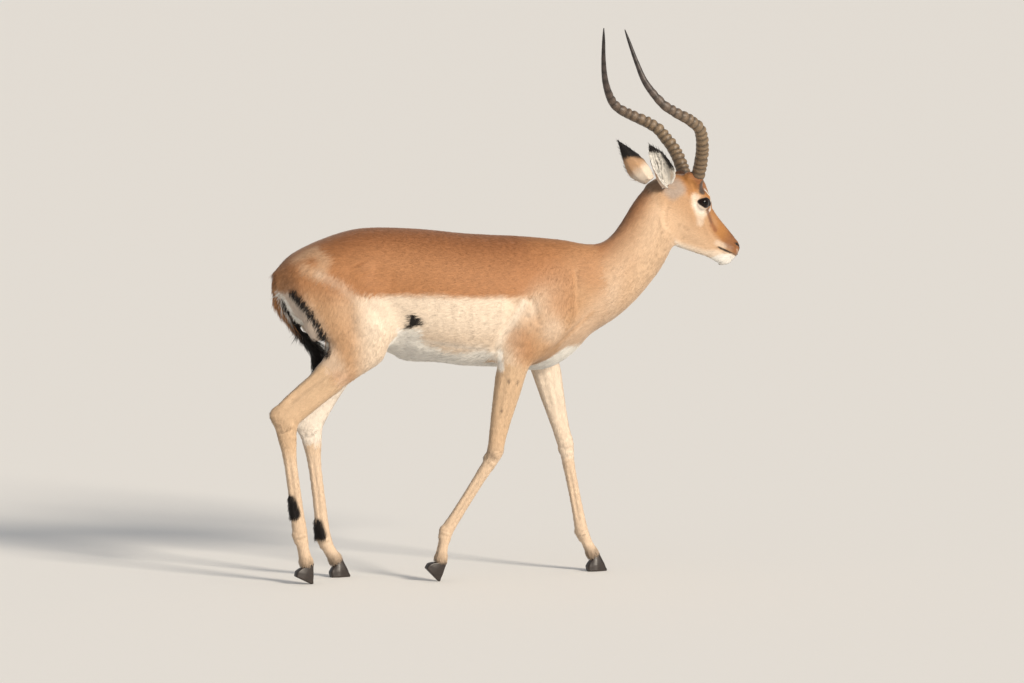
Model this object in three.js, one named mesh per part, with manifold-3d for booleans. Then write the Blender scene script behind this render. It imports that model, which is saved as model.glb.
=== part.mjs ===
// A life-size impala ram in mid walk, head turned a little to its left, as a still model.
// Millimetres. X points forward along the body, Y to the animal's left, Z up, with the floor at Z = 0.
// The flesh is modelled whole from lofted sections and then parted with thin cuts.
import * as THREE from "three";
import { mergeVertices } from "three/addons/utils/BufferGeometryUtils.js";
import Module from "manifold-3d";

const wasm = await Module();
wasm.setup();

// ---------------------------------------------------------------- driving sizes
const GAP = 0.3; // left between neighbouring solids
const CUT_SIZE = 900; // of the boxes that part them, larger than any section
const LEFT = 1;
const RIGHT = -1;

const CROUP_HEIGHT = 905; // highest point of the back, over the hips
const HEAD_PITCH = 35; // degrees that the nose points below the horizon
const HEAD_YAW = 16; // degrees that the head is turned to the left
const HEAD_AT = [606, 38, 972]; // middle of the skull, level with the ear bases
const EYE_RADIUS = 19.5;
const EYE_AT = [74.5, 31, 41]; // along, above and beside the head's axis
const HORN_RINGS = 14;
const HOOF_HEIGHT = 42;
const HOOF_LENGTH = 56;
const HOOF_WIDTH = 19;

// ---------------------------------------------------------------- materials
const coat = (colour) => new THREE.MeshStandardMaterial({ color: colour, roughness: 0.75, metalness: 0 });
const RUFOUS = coat(0xa9683a);
const FAWN = coat(0xd2a679);
const CREAM = coat(0xe2c9a2);
const EAR_FUR = coat(0xc79a6c);
const TAIL_FUR = coat(0x8a5a36);
const HORN = new THREE.MeshStandardMaterial({ color: 0x3a3430, roughness: 0.5, metalness: 0 });
const HOOF = new THREE.MeshStandardMaterial({ color: 0x1c1a19, roughness: 0.4, metalness: 0 });
const EYE = new THREE.MeshStandardMaterial({ color: 0x120c08, roughness: 0.08, metalness: 0 });

// ---------------------------------------------------------------- solids
const vec = (p) => new THREE.Vector3(...p);
const mirrored = ([x, y, z], side) => [x, y * side, z];

function solid(geometry) {
  const bare = new THREE.BufferGeometry().setAttribute("position", geometry.getAttribute("position"));
  bare.setIndex(geometry.index);
  const merged = mergeVertices(bare, 1e-3);
  const vertProperties = merged.attributes.position.array;
  const triVerts = new Uint32Array(merged.index.array);
  const made = new wasm.Manifold(new wasm.Mesh({ numProp: 3, vertProperties, triVerts }));
  if (made.volume() > 0) return made;
  triVerts.reverse(); // the faces pointed inwards
  return new wasm.Manifold(new wasm.Mesh({ numProp: 3, vertProperties, triVerts }));
}

function geometryOf(manifold) {
  const mesh = manifold.getMesh();
  const position = new Float32Array(mesh.numVert * 3);
  for (let i = 0; i < mesh.numVert; i++) {
    position.set(mesh.vertProperties.subarray(i * mesh.numProp, i * mesh.numProp + 3), i * 3);
  }
  const geometry = new THREE.BufferGeometry();
  geometry.setAttribute("position", new THREE.BufferAttribute(position, 3));
  geometry.setIndex(new THREE.BufferAttribute(new Uint32Array(mesh.triVerts), 1));
  geometry.computeVertexNormals();
  return geometry;
}

// A closed skin over rings that all have the same number of points.
function skinOver(rings) {
  const count = rings[0].length;
  const position = rings.flat().flatMap((p) => p.toArray());
  const index = [];
  for (let r = 0; r + 1 < rings.length; r++) {
    for (let j = 0; j < count; j++) {
      const a = r * count + j;
      const b = r * count + ((j + 1) % count);
      index.push(a, b, a + count, b, b + count, a + count);
    }
  }
  for (const [r, turned] of [[0, true], [rings.length - 1, false]]) {
    const middle = position.length / 3;
    const centre = rings[r].reduce((sum, p) => sum.add(p), new THREE.Vector3()).divideScalar(count);
    position.push(...centre.toArray());
    for (let j = 0; j < count; j++) {
      const a = r * count + j;
      const b = r * count + ((j + 1) % count);
      index.push(...(turned ? [b, a, middle] : [a, b, middle]));
    }
  }
  const geometry = new THREE.BufferGeometry();
  geometry.setAttribute("position", new THREE.Float32BufferAttribute(position, 3));
  geometry.setIndex(index);
  return geometry;
}

// Rows of numbers, smoothly interpolated against the distance between their places.
function smoothRows(rows, placeOf) {
  const knots = [0];
  for (let i = 1; i < rows.length; i++) {
    knots.push(knots[i - 1] + placeOf(rows[i]).distanceTo(placeOf(rows[i - 1])));
  }
  const track = new THREE.CubicInterpolant(knots, rows.flat(), rows[0].length);
  const length = knots[knots.length - 1];
  return (share) => Array.from(track.evaluate(share * length));
}

const lobe = (value, power) => Math.sign(value) * Math.abs(value) ** (2 / power);

// A body form. Each section is the two edges that its outline passes through, a side direction, the
// half width, how square each half is (2 is an ellipse), and how far from the first edge it is widest.
function form(sections, { around, rings, grow = 0 }) {
  const rows = sections.map((s) => [...s.edge, ...s.other, ...s.side, s.wide, ...s.square, s.split]);
  const placeOf = (row) => vec(row.slice(0, 3)).add(vec(row.slice(3, 6))).multiplyScalar(0.5);
  const at = smoothRows(rows, placeOf);
  const outline = [];
  for (let i = 0; i < rings; i++) {
    const row = at(i / (rings - 1));
    const edge = vec(row.slice(0, 3));
    const other = vec(row.slice(3, 6));
    const side = vec(row.slice(6, 9)).normalize();
    const [wide, square1, square2, split] = row.slice(9);
    const across = other.clone().sub(edge).normalize();
    edge.addScaledVector(across, -grow);
    other.addScaledVector(across, grow);
    const middle = edge.clone().lerp(other, split);
    if (i === 0 || i === rings - 1) {
      const end = new THREE.Vector3().crossVectors(side, across).multiplyScalar(i === 0 ? grow : -grow);
      const inner = placeOf(at(i === 0 ? 0.01 : 0.99));
      if (middle.clone().add(end).distanceTo(inner) < middle.distanceTo(inner)) end.negate();
      [edge, other, middle].forEach((p) => p.add(end));
    }
    const ring = [];
    for (let j = 0; j < around; j++) {
      const turn = (2 * Math.PI * j) / around;
      const up = Math.sin(turn);
      const square = up >= 0 ? square1 : square2;
      const reach = up >= 0 ? edge.clone().sub(middle) : other.clone().sub(middle);
      const point = middle.clone().addScaledVector(side, (wide + grow) * lobe(Math.cos(turn), square));
      ring.push(point.addScaledVector(reach, lobe(Math.abs(up), square)));
    }
    outline.push(ring);
  }
  return solid(skinOver(outline));
}

// Sections of the trunk, neck and tail, in upright planes: [x, z] of each edge, then the half width.
function uprightSections(rows, { y = 0, yaw = 0 } = {}) {
  return rows.map((row) => {
    const [x1, z1, x2, z2, wide, square1 = 2, square2 = 2, split = 0.5, offset = y, turn = yaw] = row;
    const angle = THREE.MathUtils.degToRad(turn);
    return {
      edge: [x1, offset, z1],
      other: [x2, offset, z2],
      side: [-Math.sin(angle), Math.cos(angle), 0],
      wide,
      square: [square1, square2],
      split,
    };
  });
}

// Sections of a leg. Joints are points, and each row is [bone, how far along it, front, back, half width].
// A section square to its bone turns to the middle of the bend as it nears a joint.
function legSections(joints, rows) {
  const points = joints.map(vec);
  const bones = points.slice(1).map((p, i) => p.clone().sub(points[i]));
  const directions = bones.map((b) => b.clone().normalize());
  const last = bones.length - 1;
  const bend = (i) => directions[Math.max(i - 1, 0)].clone().add(directions[Math.min(i, last)]).normalize();
  return rows.map(([bone, along, front, back, wide, square = 2.1]) => {
    const middle = points[bone].clone().addScaledVector(bones[bone], along);
    const nearStart = Math.max(0, 1 - along / 0.3);
    const nearEnd = Math.max(0, (along - 0.7) / 0.3);
    const run = directions[bone].clone().multiplyScalar(1 - nearStart - nearEnd);
    run.addScaledVector(bend(bone), nearStart).addScaledVector(bend(bone + 1), nearEnd).normalize();
    const forward = new THREE.Vector3(0, 1, 0).cross(run).negate().normalize();
    return {
      edge: middle.clone().addScaledVector(forward, front).toArray(),
      other: middle.clone().addScaledVector(forward, -back).toArray(),
      side: [0, 1, 0],
      wide,
      square: [square, square],
      split: front / (front + back),
    };
  });
}

const joined = (solids) => wasm.Manifold.union(solids);

// A prism between two Y planes, over an outline of [x, z] points.
function region(outline, yFrom, yTo, grow = 0) {
  const shape = new THREE.Shape(outline.map(([x, z]) => new THREE.Vector2(x, z)));
  const depth = Math.abs(yTo - yFrom) + 2 * grow;
  const prism = new THREE.ExtrudeGeometry(shape, { depth, bevelEnabled: false });
  prism.rotateX(Math.PI / 2);
  prism.translate(0, Math.max(yFrom, yTo) + grow, 0);
  return solid(prism);
}

// A box whose one face is the cutting plane through `at`, reaching along `normal` from it.
function beyond(at, normal, grow = 0) {
  const box = new THREE.BoxGeometry(CUT_SIZE, CUT_SIZE, CUT_SIZE);
  const direction = vec(normal).normalize();
  box.applyQuaternion(new THREE.Quaternion().setFromUnitVectors(new THREE.Vector3(0, 0, 1), direction));
  const centre = vec(at).addScaledVector(direction, CUT_SIZE / 2 - grow);
  return solid(box.translate(...centre.toArray()));
}

// ---------------------------------------------------------------- trunk, neck and tail
const trunkRows = [
  [-433, 794, -428, 752, 24],
  [-416, 819, -404, 694, 62, 2, 2, 0.5],
  [-367, 850, -356, 655, 92, 2.1, 2, 0.5],
  [-305, 878, -292, 632, 108, 2.1, 2, 0.5],
  [-220, 903, -212, 604, 118, 2.1, 2, 0.5],
  [-138, CROUP_HEIGHT, -120, 573, 122, 2.2, 2, 0.52],
  [-42, 900, -42, 562, 134, 2.2, 2.1, 0.56],
  [52, 889, 52, 543, 139, 2.1, 2.1, 0.56],
  [148, 883, 148, 538, 134, 1.95, 2, 0.55],
  [212, 880, 212, 529, 124, 1.85, 1.85, 0.54],
  [300, 871, 288, 530, 108, 1.85, 1.8, 0.53],
  [372, 860, 345, 567, 84, 1.9, 1.9, 0.5],
  [418, 838, 400, 618, 58, 2, 2, 0.5],
  [436, 800, 428, 668, 30, 2, 2, 0.5],
];
const trunk = (grow = 0) => form(uprightSections(trunkRows), { around: 20, rings: 17, grow });
const groin = () =>
  joined([
    solid(new THREE.SphereGeometry(1, 9, 7).scale(27, 25, 36).translate(-222, 0, 598)), // scrotum
    solid(new THREE.SphereGeometry(1, 9, 6).scale(68, 17, 15).translate(-52, 0, 563)), // sheath
  ]);

const neckRows = [
  [300, 862, 330, 606, 80, 2, 2, 0.5, 0, 0],
  [372, 858, 398, 618, 74, 1.9, 2, 0.5, 1, 1],
  [416, 856, 452, 652, 68, 1.9, 2, 0.52, 4, 3],
  [447, 872, 506, 694, 61, 1.9, 2, 0.52, 8, 6],
  [476, 904, 553, 744, 56, 1.9, 2, 0.52, 15, 9],
  [508, 949, 590, 790, 53, 2, 2, 0.5, 23, 12],
  [538, 990, 616, 834, 48, 2, 1.9, 0.46, 31, 15],
  [564, 1003, 634, 862, 41, 2, 1.8, 0.44, 37, 16],
  [584, 995, 648, 886, 28, 2, 1.8, 0.44, 40, 16],
];
const neck = () => form(uprightSections(neckRows), { around: 16, rings: 11 });

const tailRows = [
  [-404, 812, -392, 776, 20],
  [-438, 795, -410, 764, 21],
  [-443, 752, -409, 742, 19],
  [-429, 708, -394, 700, 17],
  [-405, 673, -371, 664, 18],
  [-372, 633, -341, 622, 21],
  [-345, 594, -310, 590, 21],
  [-338, 556, -308, 556, 15],
  [-334, 524, -327, 522, 4],
];

// ---------------------------------------------------------------- head
const headFrame = new THREE.Matrix4();
{
  const pitch = THREE.MathUtils.degToRad(HEAD_PITCH);
  const yaw = THREE.MathUtils.degToRad(HEAD_YAW);
  const ahead = new THREE.Vector3(Math.cos(yaw), Math.sin(yaw), 0);
  const beside = new THREE.Vector3(-Math.sin(yaw), Math.cos(yaw), 0);
  const along = ahead.clone().multiplyScalar(Math.cos(pitch)).setZ(-Math.sin(pitch));
  const above = ahead.clone().multiplyScalar(Math.sin(pitch)).setZ(Math.cos(pitch));
  headFrame.makeBasis(along, above, beside).setPosition(...HEAD_AT);
}
// From [along, above, beside] of the head to the body's frame.
const inHead = (p) => vec(p).applyMatrix4(headFrame).toArray();
const headSide = new THREE.Vector3(0, 0, 1).transformDirection(headFrame).toArray();

// [along, above] of the upper and lower edge, the half width, how square, and where it is widest.
const headRows = [
  [-66, -8, -30, -70, 28, 2, 2, 0.45],
  [-50, 22, -14, -90, 40, 2, 2, 0.42],
  [-24, 50, 14, -98, 45, 2, 2, 0.38],
  [8, 73, 42, -98, 47, 2.1, 1.8, 0.37],
  [42, 87, 66, -97, 48, 2.2, 1.7, 0.37],
  [70, 81, 88, -94, 46, 2.3, 1.65, 0.36],
  [94, 62, 108, -87, 40, 2.4, 1.65, 0.35],
  [120, 47, 130, -80, 33, 2.3, 1.65, 0.36],
  [150, 38.5, 156, -72, 28, 2.2, 1.7, 0.38],
  [180, 32, 184, -66, 25, 2.2, 1.8, 0.4],
  [210, 25, 210, -62, 24, 2.3, 2, 0.42],
  [234, 18, 232, -58, 25, 2.4, 2, 0.4],
  [249, 10, 246, -50, 21, 2.2, 2, 0.4],
  [257, -2, 254, -38, 11, 2, 2, 0.4],
];
function skull(grow = 0) {
  const sections = headRows.map(([a1, b1, a2, b2, wide, square1, square2, split]) => ({
    edge: inHead([a1, b1, 0]),
    other: inHead([a2, b2, 0]),
    side: headSide,
    wide,
    square: [square1, square2],
    split,
  }));
  const parts = [form(sections, { around: 18, rings: 18, grow })];
  for (const side of [LEFT, RIGHT]) {
    parts.push(ball(inHead([70, 35, 30 * side]), [38 + grow, 26 + grow, 25 + grow])); // bony rim of the eye
    parts.push(ball(inHead([36, -36, 27 * side]), [46 + grow, 40 + grow, 16 + grow])); // cheek muscle
    parts.push(ball(inHead([240, -4, 12 * side]), [14 + grow, 15 + grow, 12 + grow])); // wing of the nostril
    parts.push(ball(inHead([26, 64, 28 * side]), [31 + grow, 23 + grow, 23 + grow])); // seat of the horn
  }
  return joined(parts);
}

// A stretched ball in the head's own directions.
function ball(at, radii, around = 9, down = 7) {
  const shape = new THREE.SphereGeometry(1, around, down).scale(...radii);
  shape.applyMatrix4(new THREE.Matrix4().extractRotation(headFrame)).translate(...at);
  return solid(shape);
}

// ---------------------------------------------------------------- legs
const HIND_BUILD = [
  [0, -0.12, 34, 46, 10],
  [0, 0.08, 76, 112, 36],
  [0, 0.35, 98, 142, 46],
  [0, 0.7, 94, 138, 44],
  [1, 0.0, 58, 122, 39],
  [1, 0.25, 43, 84, 32],
  [1, 0.5, 34, 55, 25],
  [1, 0.8, 30, 54, 20],
  [2, 0.0, 34, 50, 21],
  [2, 0.12, 28, 28, 18],
  [2, 0.28, 19, 20, 14],
  [2, 0.6, 17.5, 18.5, 13],
  [2, 0.85, 18, 20, 14.5],
  [2, 1.0, 20, 21, 17.5],
  [3, 0.5, 15, 16, 16],
  [3, 1.0, 17, 20, 19],
];
const FORE_BUILD = [
  [0, -0.04, 36, 30, 10],
  [0, 0.25, 88, 64, 30],
  [0, 0.7, 104, 84, 37],
  [1, 0.0, 96, 84, 38],
  [1, 0.5, 74, 64, 37],
  [1, 1.0, 48, 41, 32],
  [2, 0.2, 43, 37, 27],
  [2, 0.45, 35, 32, 22],
  [2, 0.75, 26, 25, 17.5],
  [2, 1.0, 22, 21, 18.5],
  [3, 0.12, 17, 19, 15.5],
  [3, 0.5, 15, 17, 12.5],
  [3, 0.85, 16, 18, 14],
  [3, 1.0, 18, 19, 17],
  [4, 0.5, 14, 14, 16],
  [4, 1.0, 16, 18, 18],
];
// Joints from the top down, with Y for the left side. `toe` is how far the hoof is tipped on to its
// point, in degrees.
const LEGS = {
  hind_right: {
    side: RIGHT,
    build: HIND_BUILD,
    joints: [[-290, 66, 808], [-190, 86, 610], [-417, 80, 414], [-376, 74, 120], [-360, 74, 51]],
    toe: 26,
  },
  hind_left: {
    side: LEFT,
    build: HIND_BUILD,
    joints: [[-290, 66, 808], [-178, 86, 638], [-323, 80, 387], [-287, 74, 92], [-256, 74, 42]],
    toe: 0,
  },
  fore_right: {
    side: RIGHT,
    build: FORE_BUILD,
    joints: [[262, 56, 806], [248, 82, 668], [171, 88, 562], [122, 84, 315], [-2, 76, 120], [-13, 76, 52]],
    toe: 46,
  },
  fore_left: {
    side: LEFT,
    build: FORE_BUILD,
    joints: [[288, 56, 806], [306, 82, 668], [283, 88, 566], [349, 84, 322], [392, 76, 96], [420, 76, 42]],
    toe: 0,
  },
};
const leg = ({ side, build, joints }, grow = 0) =>
  form(legSections(joints.map((p) => mirrored(p, side)), build), { around: 10, rings: 22, grow });

// One claw of a cloven hoof: sole at Z = 0, toe to +X, coronet above the origin.
function claw(outward) {
  const heel = -0.36 * HOOF_LENGTH;
  const toe = 0.64 * HOOF_LENGTH;
  const shape = new THREE.Shape();
  shape.moveTo(heel, 0);
  shape.lineTo(toe, 0);
  shape.quadraticCurveTo(toe + 3, 4, toe - 3, 9);
  shape.lineTo(0.34 * HOOF_LENGTH, HOOF_HEIGHT + 8);
  shape.lineTo(heel - 2, 0.8 * HOOF_HEIGHT);
  shape.quadraticCurveTo(heel - 7, 0.4 * HOOF_HEIGHT, heel, 0);
  const geometry = new THREE.ExtrudeGeometry(shape, {
    depth: HOOF_WIDTH,
    steps: 2,
    bevelEnabled: false,
    curveSegments: 2,
  });
  geometry.rotateX(Math.PI / 2);
  geometry.translate(0, HOOF_WIDTH, 0);
  const position = geometry.getAttribute("position");
  for (let i = 0; i < position.count; i++) {
    const x = position.getX(i);
    const share = position.getY(i) / HOOF_WIDTH; // 0 at the cleft, 1 outside
    const taper = 1 - 0.5 * THREE.MathUtils.smoothstep(x, 0, toe) - 0.12 * (position.getZ(i) / HOOF_HEIGHT);
    const rounded = 1 - 0.16 * Math.max(0, 2 * share - 1) ** 2;
    position.setX(i, x * rounded);
    position.setY(i, outward * (1.2 + share * HOOF_WIDTH * taper));
  }
  return geometry;
}

// ---------------------------------------------------------------- horns and ears
// A horn's axis in the head's frame, from the skull to the point, with its half thickness.
const HORN_AXIS = [
  [34, 64, 30, 19],
  [21, 90, 42, 17.8],
  [-13, 127, 69, 16.8],
  [-45, 149, 92, 16],
  [-76, 162, 108, 15.2],
  [-118, 160, 120, 14.5],
  [-170, 151, 126, 13],
  [-213, 151, 123, 11.5],
  [-269, 173, 103, 8.3],
  [-314, 207, 86, 5.9],
  [-354, 244, 67, 3.9],
  [-376, 265, 56, 1.2],
];
const HORN_DROP = { left: 11, right: -2 }; // how much lower than the axis each horn's bow hangs
const RIDGED_SHARE = 0.66; // of the horn's length carries rings
function horn(side) {
  const at = smoothRows(HORN_AXIS, (row) => vec(row.slice(0, 3)));
  const drop = side === LEFT ? HORN_DROP.left : HORN_DROP.right;
  const stops = [[0, 0]];
  for (let i = 0; i < HORN_RINGS; i++) {
    const from = RIDGED_SHARE * (0.1 + 0.9 * (i / HORN_RINGS) ** 1.25);
    const to = RIDGED_SHARE * (0.1 + 0.9 * ((i + 1) / HORN_RINGS) ** 1.25);
    stops.push([from, 0], [from + 0.6 * (to - from), 1]);
  }
  for (let i = 0; i <= 4; i++) stops.push([RIDGED_SHARE + (1 - RIDGED_SHARE) * (i / 4), 0]);
  const around = 7;
  const rings = stops.map(([share, swell]) => {
    const [a, b, w, thick] = at(share);
    const ahead = vec(at(Math.min(1, share + 0.01)).slice(0, 3));
    const behind = vec(at(Math.max(0, share - 0.01)).slice(0, 3));
    const run = ahead.sub(behind).normalize();
    const beside = new THREE.Vector3(0, 0, 1).addScaledVector(run, -run.z).normalize();
    const front = new THREE.Vector3().crossVectors(beside, run).normalize();
    const ring = [];
    for (let j = 0; j < around; j++) {
      const turn = (2 * Math.PI * j) / around;
      const lift = swell * 2.8 * (0.6 + 0.4 * Math.cos(turn)) * (1 - 0.6 * share);
      const place = new THREE.Vector3(a, b - drop * Math.sin(Math.PI * share) ** 2, w);
      place.addScaledVector(front, Math.cos(turn) * (thick * 1.06 + lift));
      place.addScaledVector(beside, Math.sin(turn) * (thick * 0.94 + lift));
      ring.push(vec(inHead([place.x, place.y, place.z * side])));
    }
    return ring;
  });
  return solid(skinOver(rings));
}

// An ear is a leaf rolled into a cup. Rows: [share of length, half width, roll in degrees].
const EAR_LEAF = [
  [0.0, 16, 150],
  [0.12, 24, 125],
  [0.3, 30, 100],
  [0.48, 28, 86],
  [0.66, 20, 76],
  [0.82, 11, 68],
  [0.94, 5, 60],
  [1.0, 2, 55],
];
const EAR_THICK = 5.5;
const EARS = {
  ear_left: { side: LEFT, root: [-46, 14, 38], tip: [-157, 60, 99], open: [0.25, 0.05, 1] },
  ear_right: { side: RIGHT, root: [-38, 12, 38], tip: [-160, 56, 96], open: [0.25, 0.05, 1] },
};
function ear({ side, root, tip, open: facing }) {
  const from = vec(root);
  const run = vec(tip).sub(from);
  const long = run.clone().normalize();
  const open = vec(facing).normalize();
  open.addScaledVector(long, -open.dot(long)).normalize();
  const across = new THREE.Vector3().crossVectors(long, open).normalize();
  const at = smoothRows(EAR_LEAF, (row) => new THREE.Vector3(row[0], 0, 0));
  const rings = [];
  const rows = 9;
  const half = 5;
  for (let i = 0; i < rows; i++) {
    const [share, wide, roll] = at(i / (rows - 1));
    const spread = THREE.MathUtils.degToRad(roll);
    const radius = wide / Math.sin(Math.min(spread, Math.PI / 2));
    const middle = from.clone().addScaledVector(run, share).addScaledVector(open, radius - 12);
    const arc = (turn, r) =>
      middle.clone().addScaledVector(open, -Math.cos(turn) * r).addScaledVector(across, Math.sin(turn) * r);
    const thick = EAR_THICK * (share > 0.9 ? 0.7 : 1);
    const ring = [];
    for (let j = 0; j < half; j++) ring.push(arc(spread * ((2 * j) / (half - 1) - 1), radius));
    for (let j = half - 1; j >= 0; j--) {
      const turn = 0.97 * spread * ((2 * j) / (half - 1) - 1);
      const fill = 1 - Math.max(0, 1 - share / 0.12); // the cup closes at its root
      ring.push(arc(turn, Math.max((radius - thick) * fill, 0.25 * radius)));
    }
    rings.push(ring.map((p) => vec(inHead([p.x, p.y, p.z * side]))));
  }
  return solid(skinOver(rings));
}

// ---------------------------------------------------------------- whole flesh, then parts
const pieces = new Map();
let flesh = joined([trunk(), groin(), neck(), skull(), ...Object.values(LEGS).map((l) => leg(l))]);

function part(name, material, { at, normal }) {
  pieces.set(name, [flesh.intersect(beyond(at, normal)), material]);
  flesh = flesh.subtract(beyond(at, normal, GAP));
}

// eyes sit in sockets
for (const [name, side] of [["eye_left", LEFT], ["eye_right", RIGHT]]) {
  const at = inHead([EYE_AT[0], EYE_AT[1], EYE_AT[2] * side]);
  flesh = flesh.subtract(ball(at, Array(3).fill(EYE_RADIUS + GAP), 10, 8));
  pieces.set(name, [ball(at, Array(3).fill(EYE_RADIUS), 10, 8), EYE]);
}

// head and neck
const NAPE_CUT = { at: [586, 34, 922], normal: [0.88, 0.06, 0.47] };
const CHEST_CUT = { at: [428, 0, 745], normal: [0.98, 0, 0.17] };
part("head", FAWN, NAPE_CUT);
part("neck", FAWN, CHEST_CUT);

// legs: the outline that each takes from the trunk's side, and everything of it lower down
const THIGH = [[-128, 560], [-128, 640], [-172, 742], [-250, 806], [-350, 814], [-500, 800], [-540, 560]];
const HIND_BELOW = [[-114, 560.5], [-540, 560.5], [-540, -30], [-114, -30]];
const foreBelow = (elbow) => [
  [elbow - 59, 556.5],
  [elbow + 80, 556.5],
  [elbow + 90, 520],
  [560, 480],
  [560, -30],
  [-140, -30],
  [-140, 480],
  [elbow - 70, 520],
];
const shoulderOutline = (elbow, blade) => [
  [elbow - 59, 556],
  [elbow - 41, 640],
  [blade - 48, 772],
  [blade, 838],
  [blade + 68, 800],
  [(elbow + blade) / 2 + 130, 700],
  [elbow + 120, 612],
  [elbow + 80, 556],
];
const spread = (outline, grow) => {
  const count = outline.length;
  const middle = outline.reduce(([a, b], [x, z]) => [a + x / count, b + z / count], [0, 0]);
  return outline.map(([x, z]) => {
    const away = new THREE.Vector2(x - middle[0], z - middle[1]);
    away.setLength(away.length() + 1.5 * grow);
    return [middle[0] + away.x, middle[1] + away.y];
  });
};
function legCutter(name, { side, joints }, grow) {
  const prism = (outline, near) => region(spread(outline, grow), side * (near - grow), side * 260);
  if (name.startsWith("hind")) return joined([prism(THIGH, 40), prism(HIND_BELOW, 4)]);
  const [blade, elbow] = [joints[0][0], joints[2][0]];
  return joined([prism(shoulderOutline(elbow, blade), 60), prism(foreBelow(elbow), 55)]);
}

const LEG_NAMES = {
  hind: ["thigh", "gaskin", "cannon", "pastern"],
  fore: ["shoulder", "forearm", "cannon", "pastern"],
};
for (const [name, spec] of Object.entries(LEGS)) {
  const hind = name.startsWith("hind");
  const joints = spec.joints.map((p) => mirrored(p, spec.side));
  let rest = flesh.intersect(legCutter(name, spec, 0));
  flesh = flesh.subtract(legCutter(name, spec, GAP));
  const names = LEG_NAMES[hind ? "hind" : "fore"];
  // each cut is square to the limb, a little below its joint
  const cuts = hind ? [[1, 0.44], [2, 0.14], [3, 0.1]] : [[2, 0.02], [3, 0.12], [4, 0.1]];
  cuts.forEach(([bone, along], i) => {
    const from = vec(joints[bone]);
    const run = vec(joints[bone + 1]).sub(from);
    const at = from.clone().addScaledVector(run, along).toArray();
    const down = run.normalize().toArray();
    pieces.set(`${name}_${names[i]}`, [rest.subtract(beyond(at, down, GAP)), i === 0 ? FAWN : CREAM]);
    rest = rest.intersect(beyond(at, down));
  });
  pieces.set(`${name}_${names[names.length - 1]}`, [rest, CREAM]);

  // hooves, tipped about the coronet, each toe ground to a small flat where it meets the floor
  const coronet = joints[joints.length - 1];
  const floor = solid(new THREE.BoxGeometry(2000, 2000, 200).translate(0, 0, -100));
  for (const [label, outward] of [["outer", spec.side], ["inner", -spec.side]]) {
    const shape = claw(outward);
    shape.translate(0, 0, -HOOF_HEIGHT);
    shape.rotateY(THREE.MathUtils.degToRad(spec.toe));
    shape.translate(...coronet);
    shape.computeBoundingBox();
    const lift = spec.toe ? -shape.boundingBox.min.z - 1.6 : -shape.boundingBox.min.z;
    shape.translate(0, 0, lift);
    const hoof = solid(shape).subtract(leg(spec, GAP)).subtract(floor);
    pieces.set(`${name}_hoof_${label}`, [hoof, HOOF]);
  }
}
pieces.set("trunk", [flesh, RUFOUS]);

const tailForm = form(uprightSections(tailRows), { around: 8, rings: 11 });
const hindQuarters = joined([trunk(GAP), leg(LEGS.hind_left, GAP), leg(LEGS.hind_right, GAP)]);
pieces.set("tail", [tailForm.subtract(hindQuarters), TAIL_FUR]);

const headGrown = skull(GAP);
for (const [name, spec] of Object.entries(EARS)) pieces.set(name, [ear(spec).subtract(headGrown), EAR_FUR]);
pieces.set("horn_left", [horn(LEFT).subtract(headGrown), HORN]);
pieces.set("horn_right", [horn(RIGHT).subtract(headGrown), HORN]);

// ---------------------------------------------------------------- the model, centred over its own footprint
const model = new THREE.Group();
for (const [name, [shape, material]] of pieces) {
  const largest = shape.decompose().sort((a, b) => b.volume() - a.volume())[0];
  const mesh = new THREE.Mesh(geometryOf(largest), material);
  mesh.name = name;
  model.add(mesh);
}
const bounds = new THREE.Box3().setFromObject(model);
const centre = bounds.getCenter(new THREE.Vector3());
model.position.set(-centre.x, -centre.y, -bounds.min.z);

export default model;
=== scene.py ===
"""A life-size impala ram in mid walk, set up for its looks."""

import math

import bmesh
import bpy
import numpy as np
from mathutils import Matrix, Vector, noise
from mathutils.bvhtree import BVHTree


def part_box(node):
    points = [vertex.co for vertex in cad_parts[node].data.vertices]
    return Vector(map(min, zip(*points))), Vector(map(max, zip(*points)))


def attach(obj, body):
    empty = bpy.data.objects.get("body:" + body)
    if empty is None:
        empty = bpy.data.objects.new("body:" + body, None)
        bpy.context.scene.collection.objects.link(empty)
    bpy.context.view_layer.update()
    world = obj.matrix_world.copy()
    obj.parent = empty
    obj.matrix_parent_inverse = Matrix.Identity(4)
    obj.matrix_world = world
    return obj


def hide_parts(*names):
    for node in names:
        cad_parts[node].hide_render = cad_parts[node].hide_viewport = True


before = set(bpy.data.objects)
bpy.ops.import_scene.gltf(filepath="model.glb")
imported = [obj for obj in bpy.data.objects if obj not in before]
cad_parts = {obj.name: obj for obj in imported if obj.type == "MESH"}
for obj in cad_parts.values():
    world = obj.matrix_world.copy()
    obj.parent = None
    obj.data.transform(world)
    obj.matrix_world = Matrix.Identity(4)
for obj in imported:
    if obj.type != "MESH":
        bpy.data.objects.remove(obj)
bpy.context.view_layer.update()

# ---------------------------------------------------------------- camera
# A long lens some twenty metres away, a little behind the square of the ram's right side. It stands a little
# above the animal's shoulder and looks at the middle of its body, so all four legs and both horns are seen.
VIEW_AZIMUTH = math.radians(-12)
VIEW_ELEVATION = math.radians(4.5)
VIEW_DISTANCE = 20.0
LENS_MM = 274.2
SENSOR_MM = 36.0
LOOK_AT = Vector((0.0135, -0.0134, 0.605))

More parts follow.
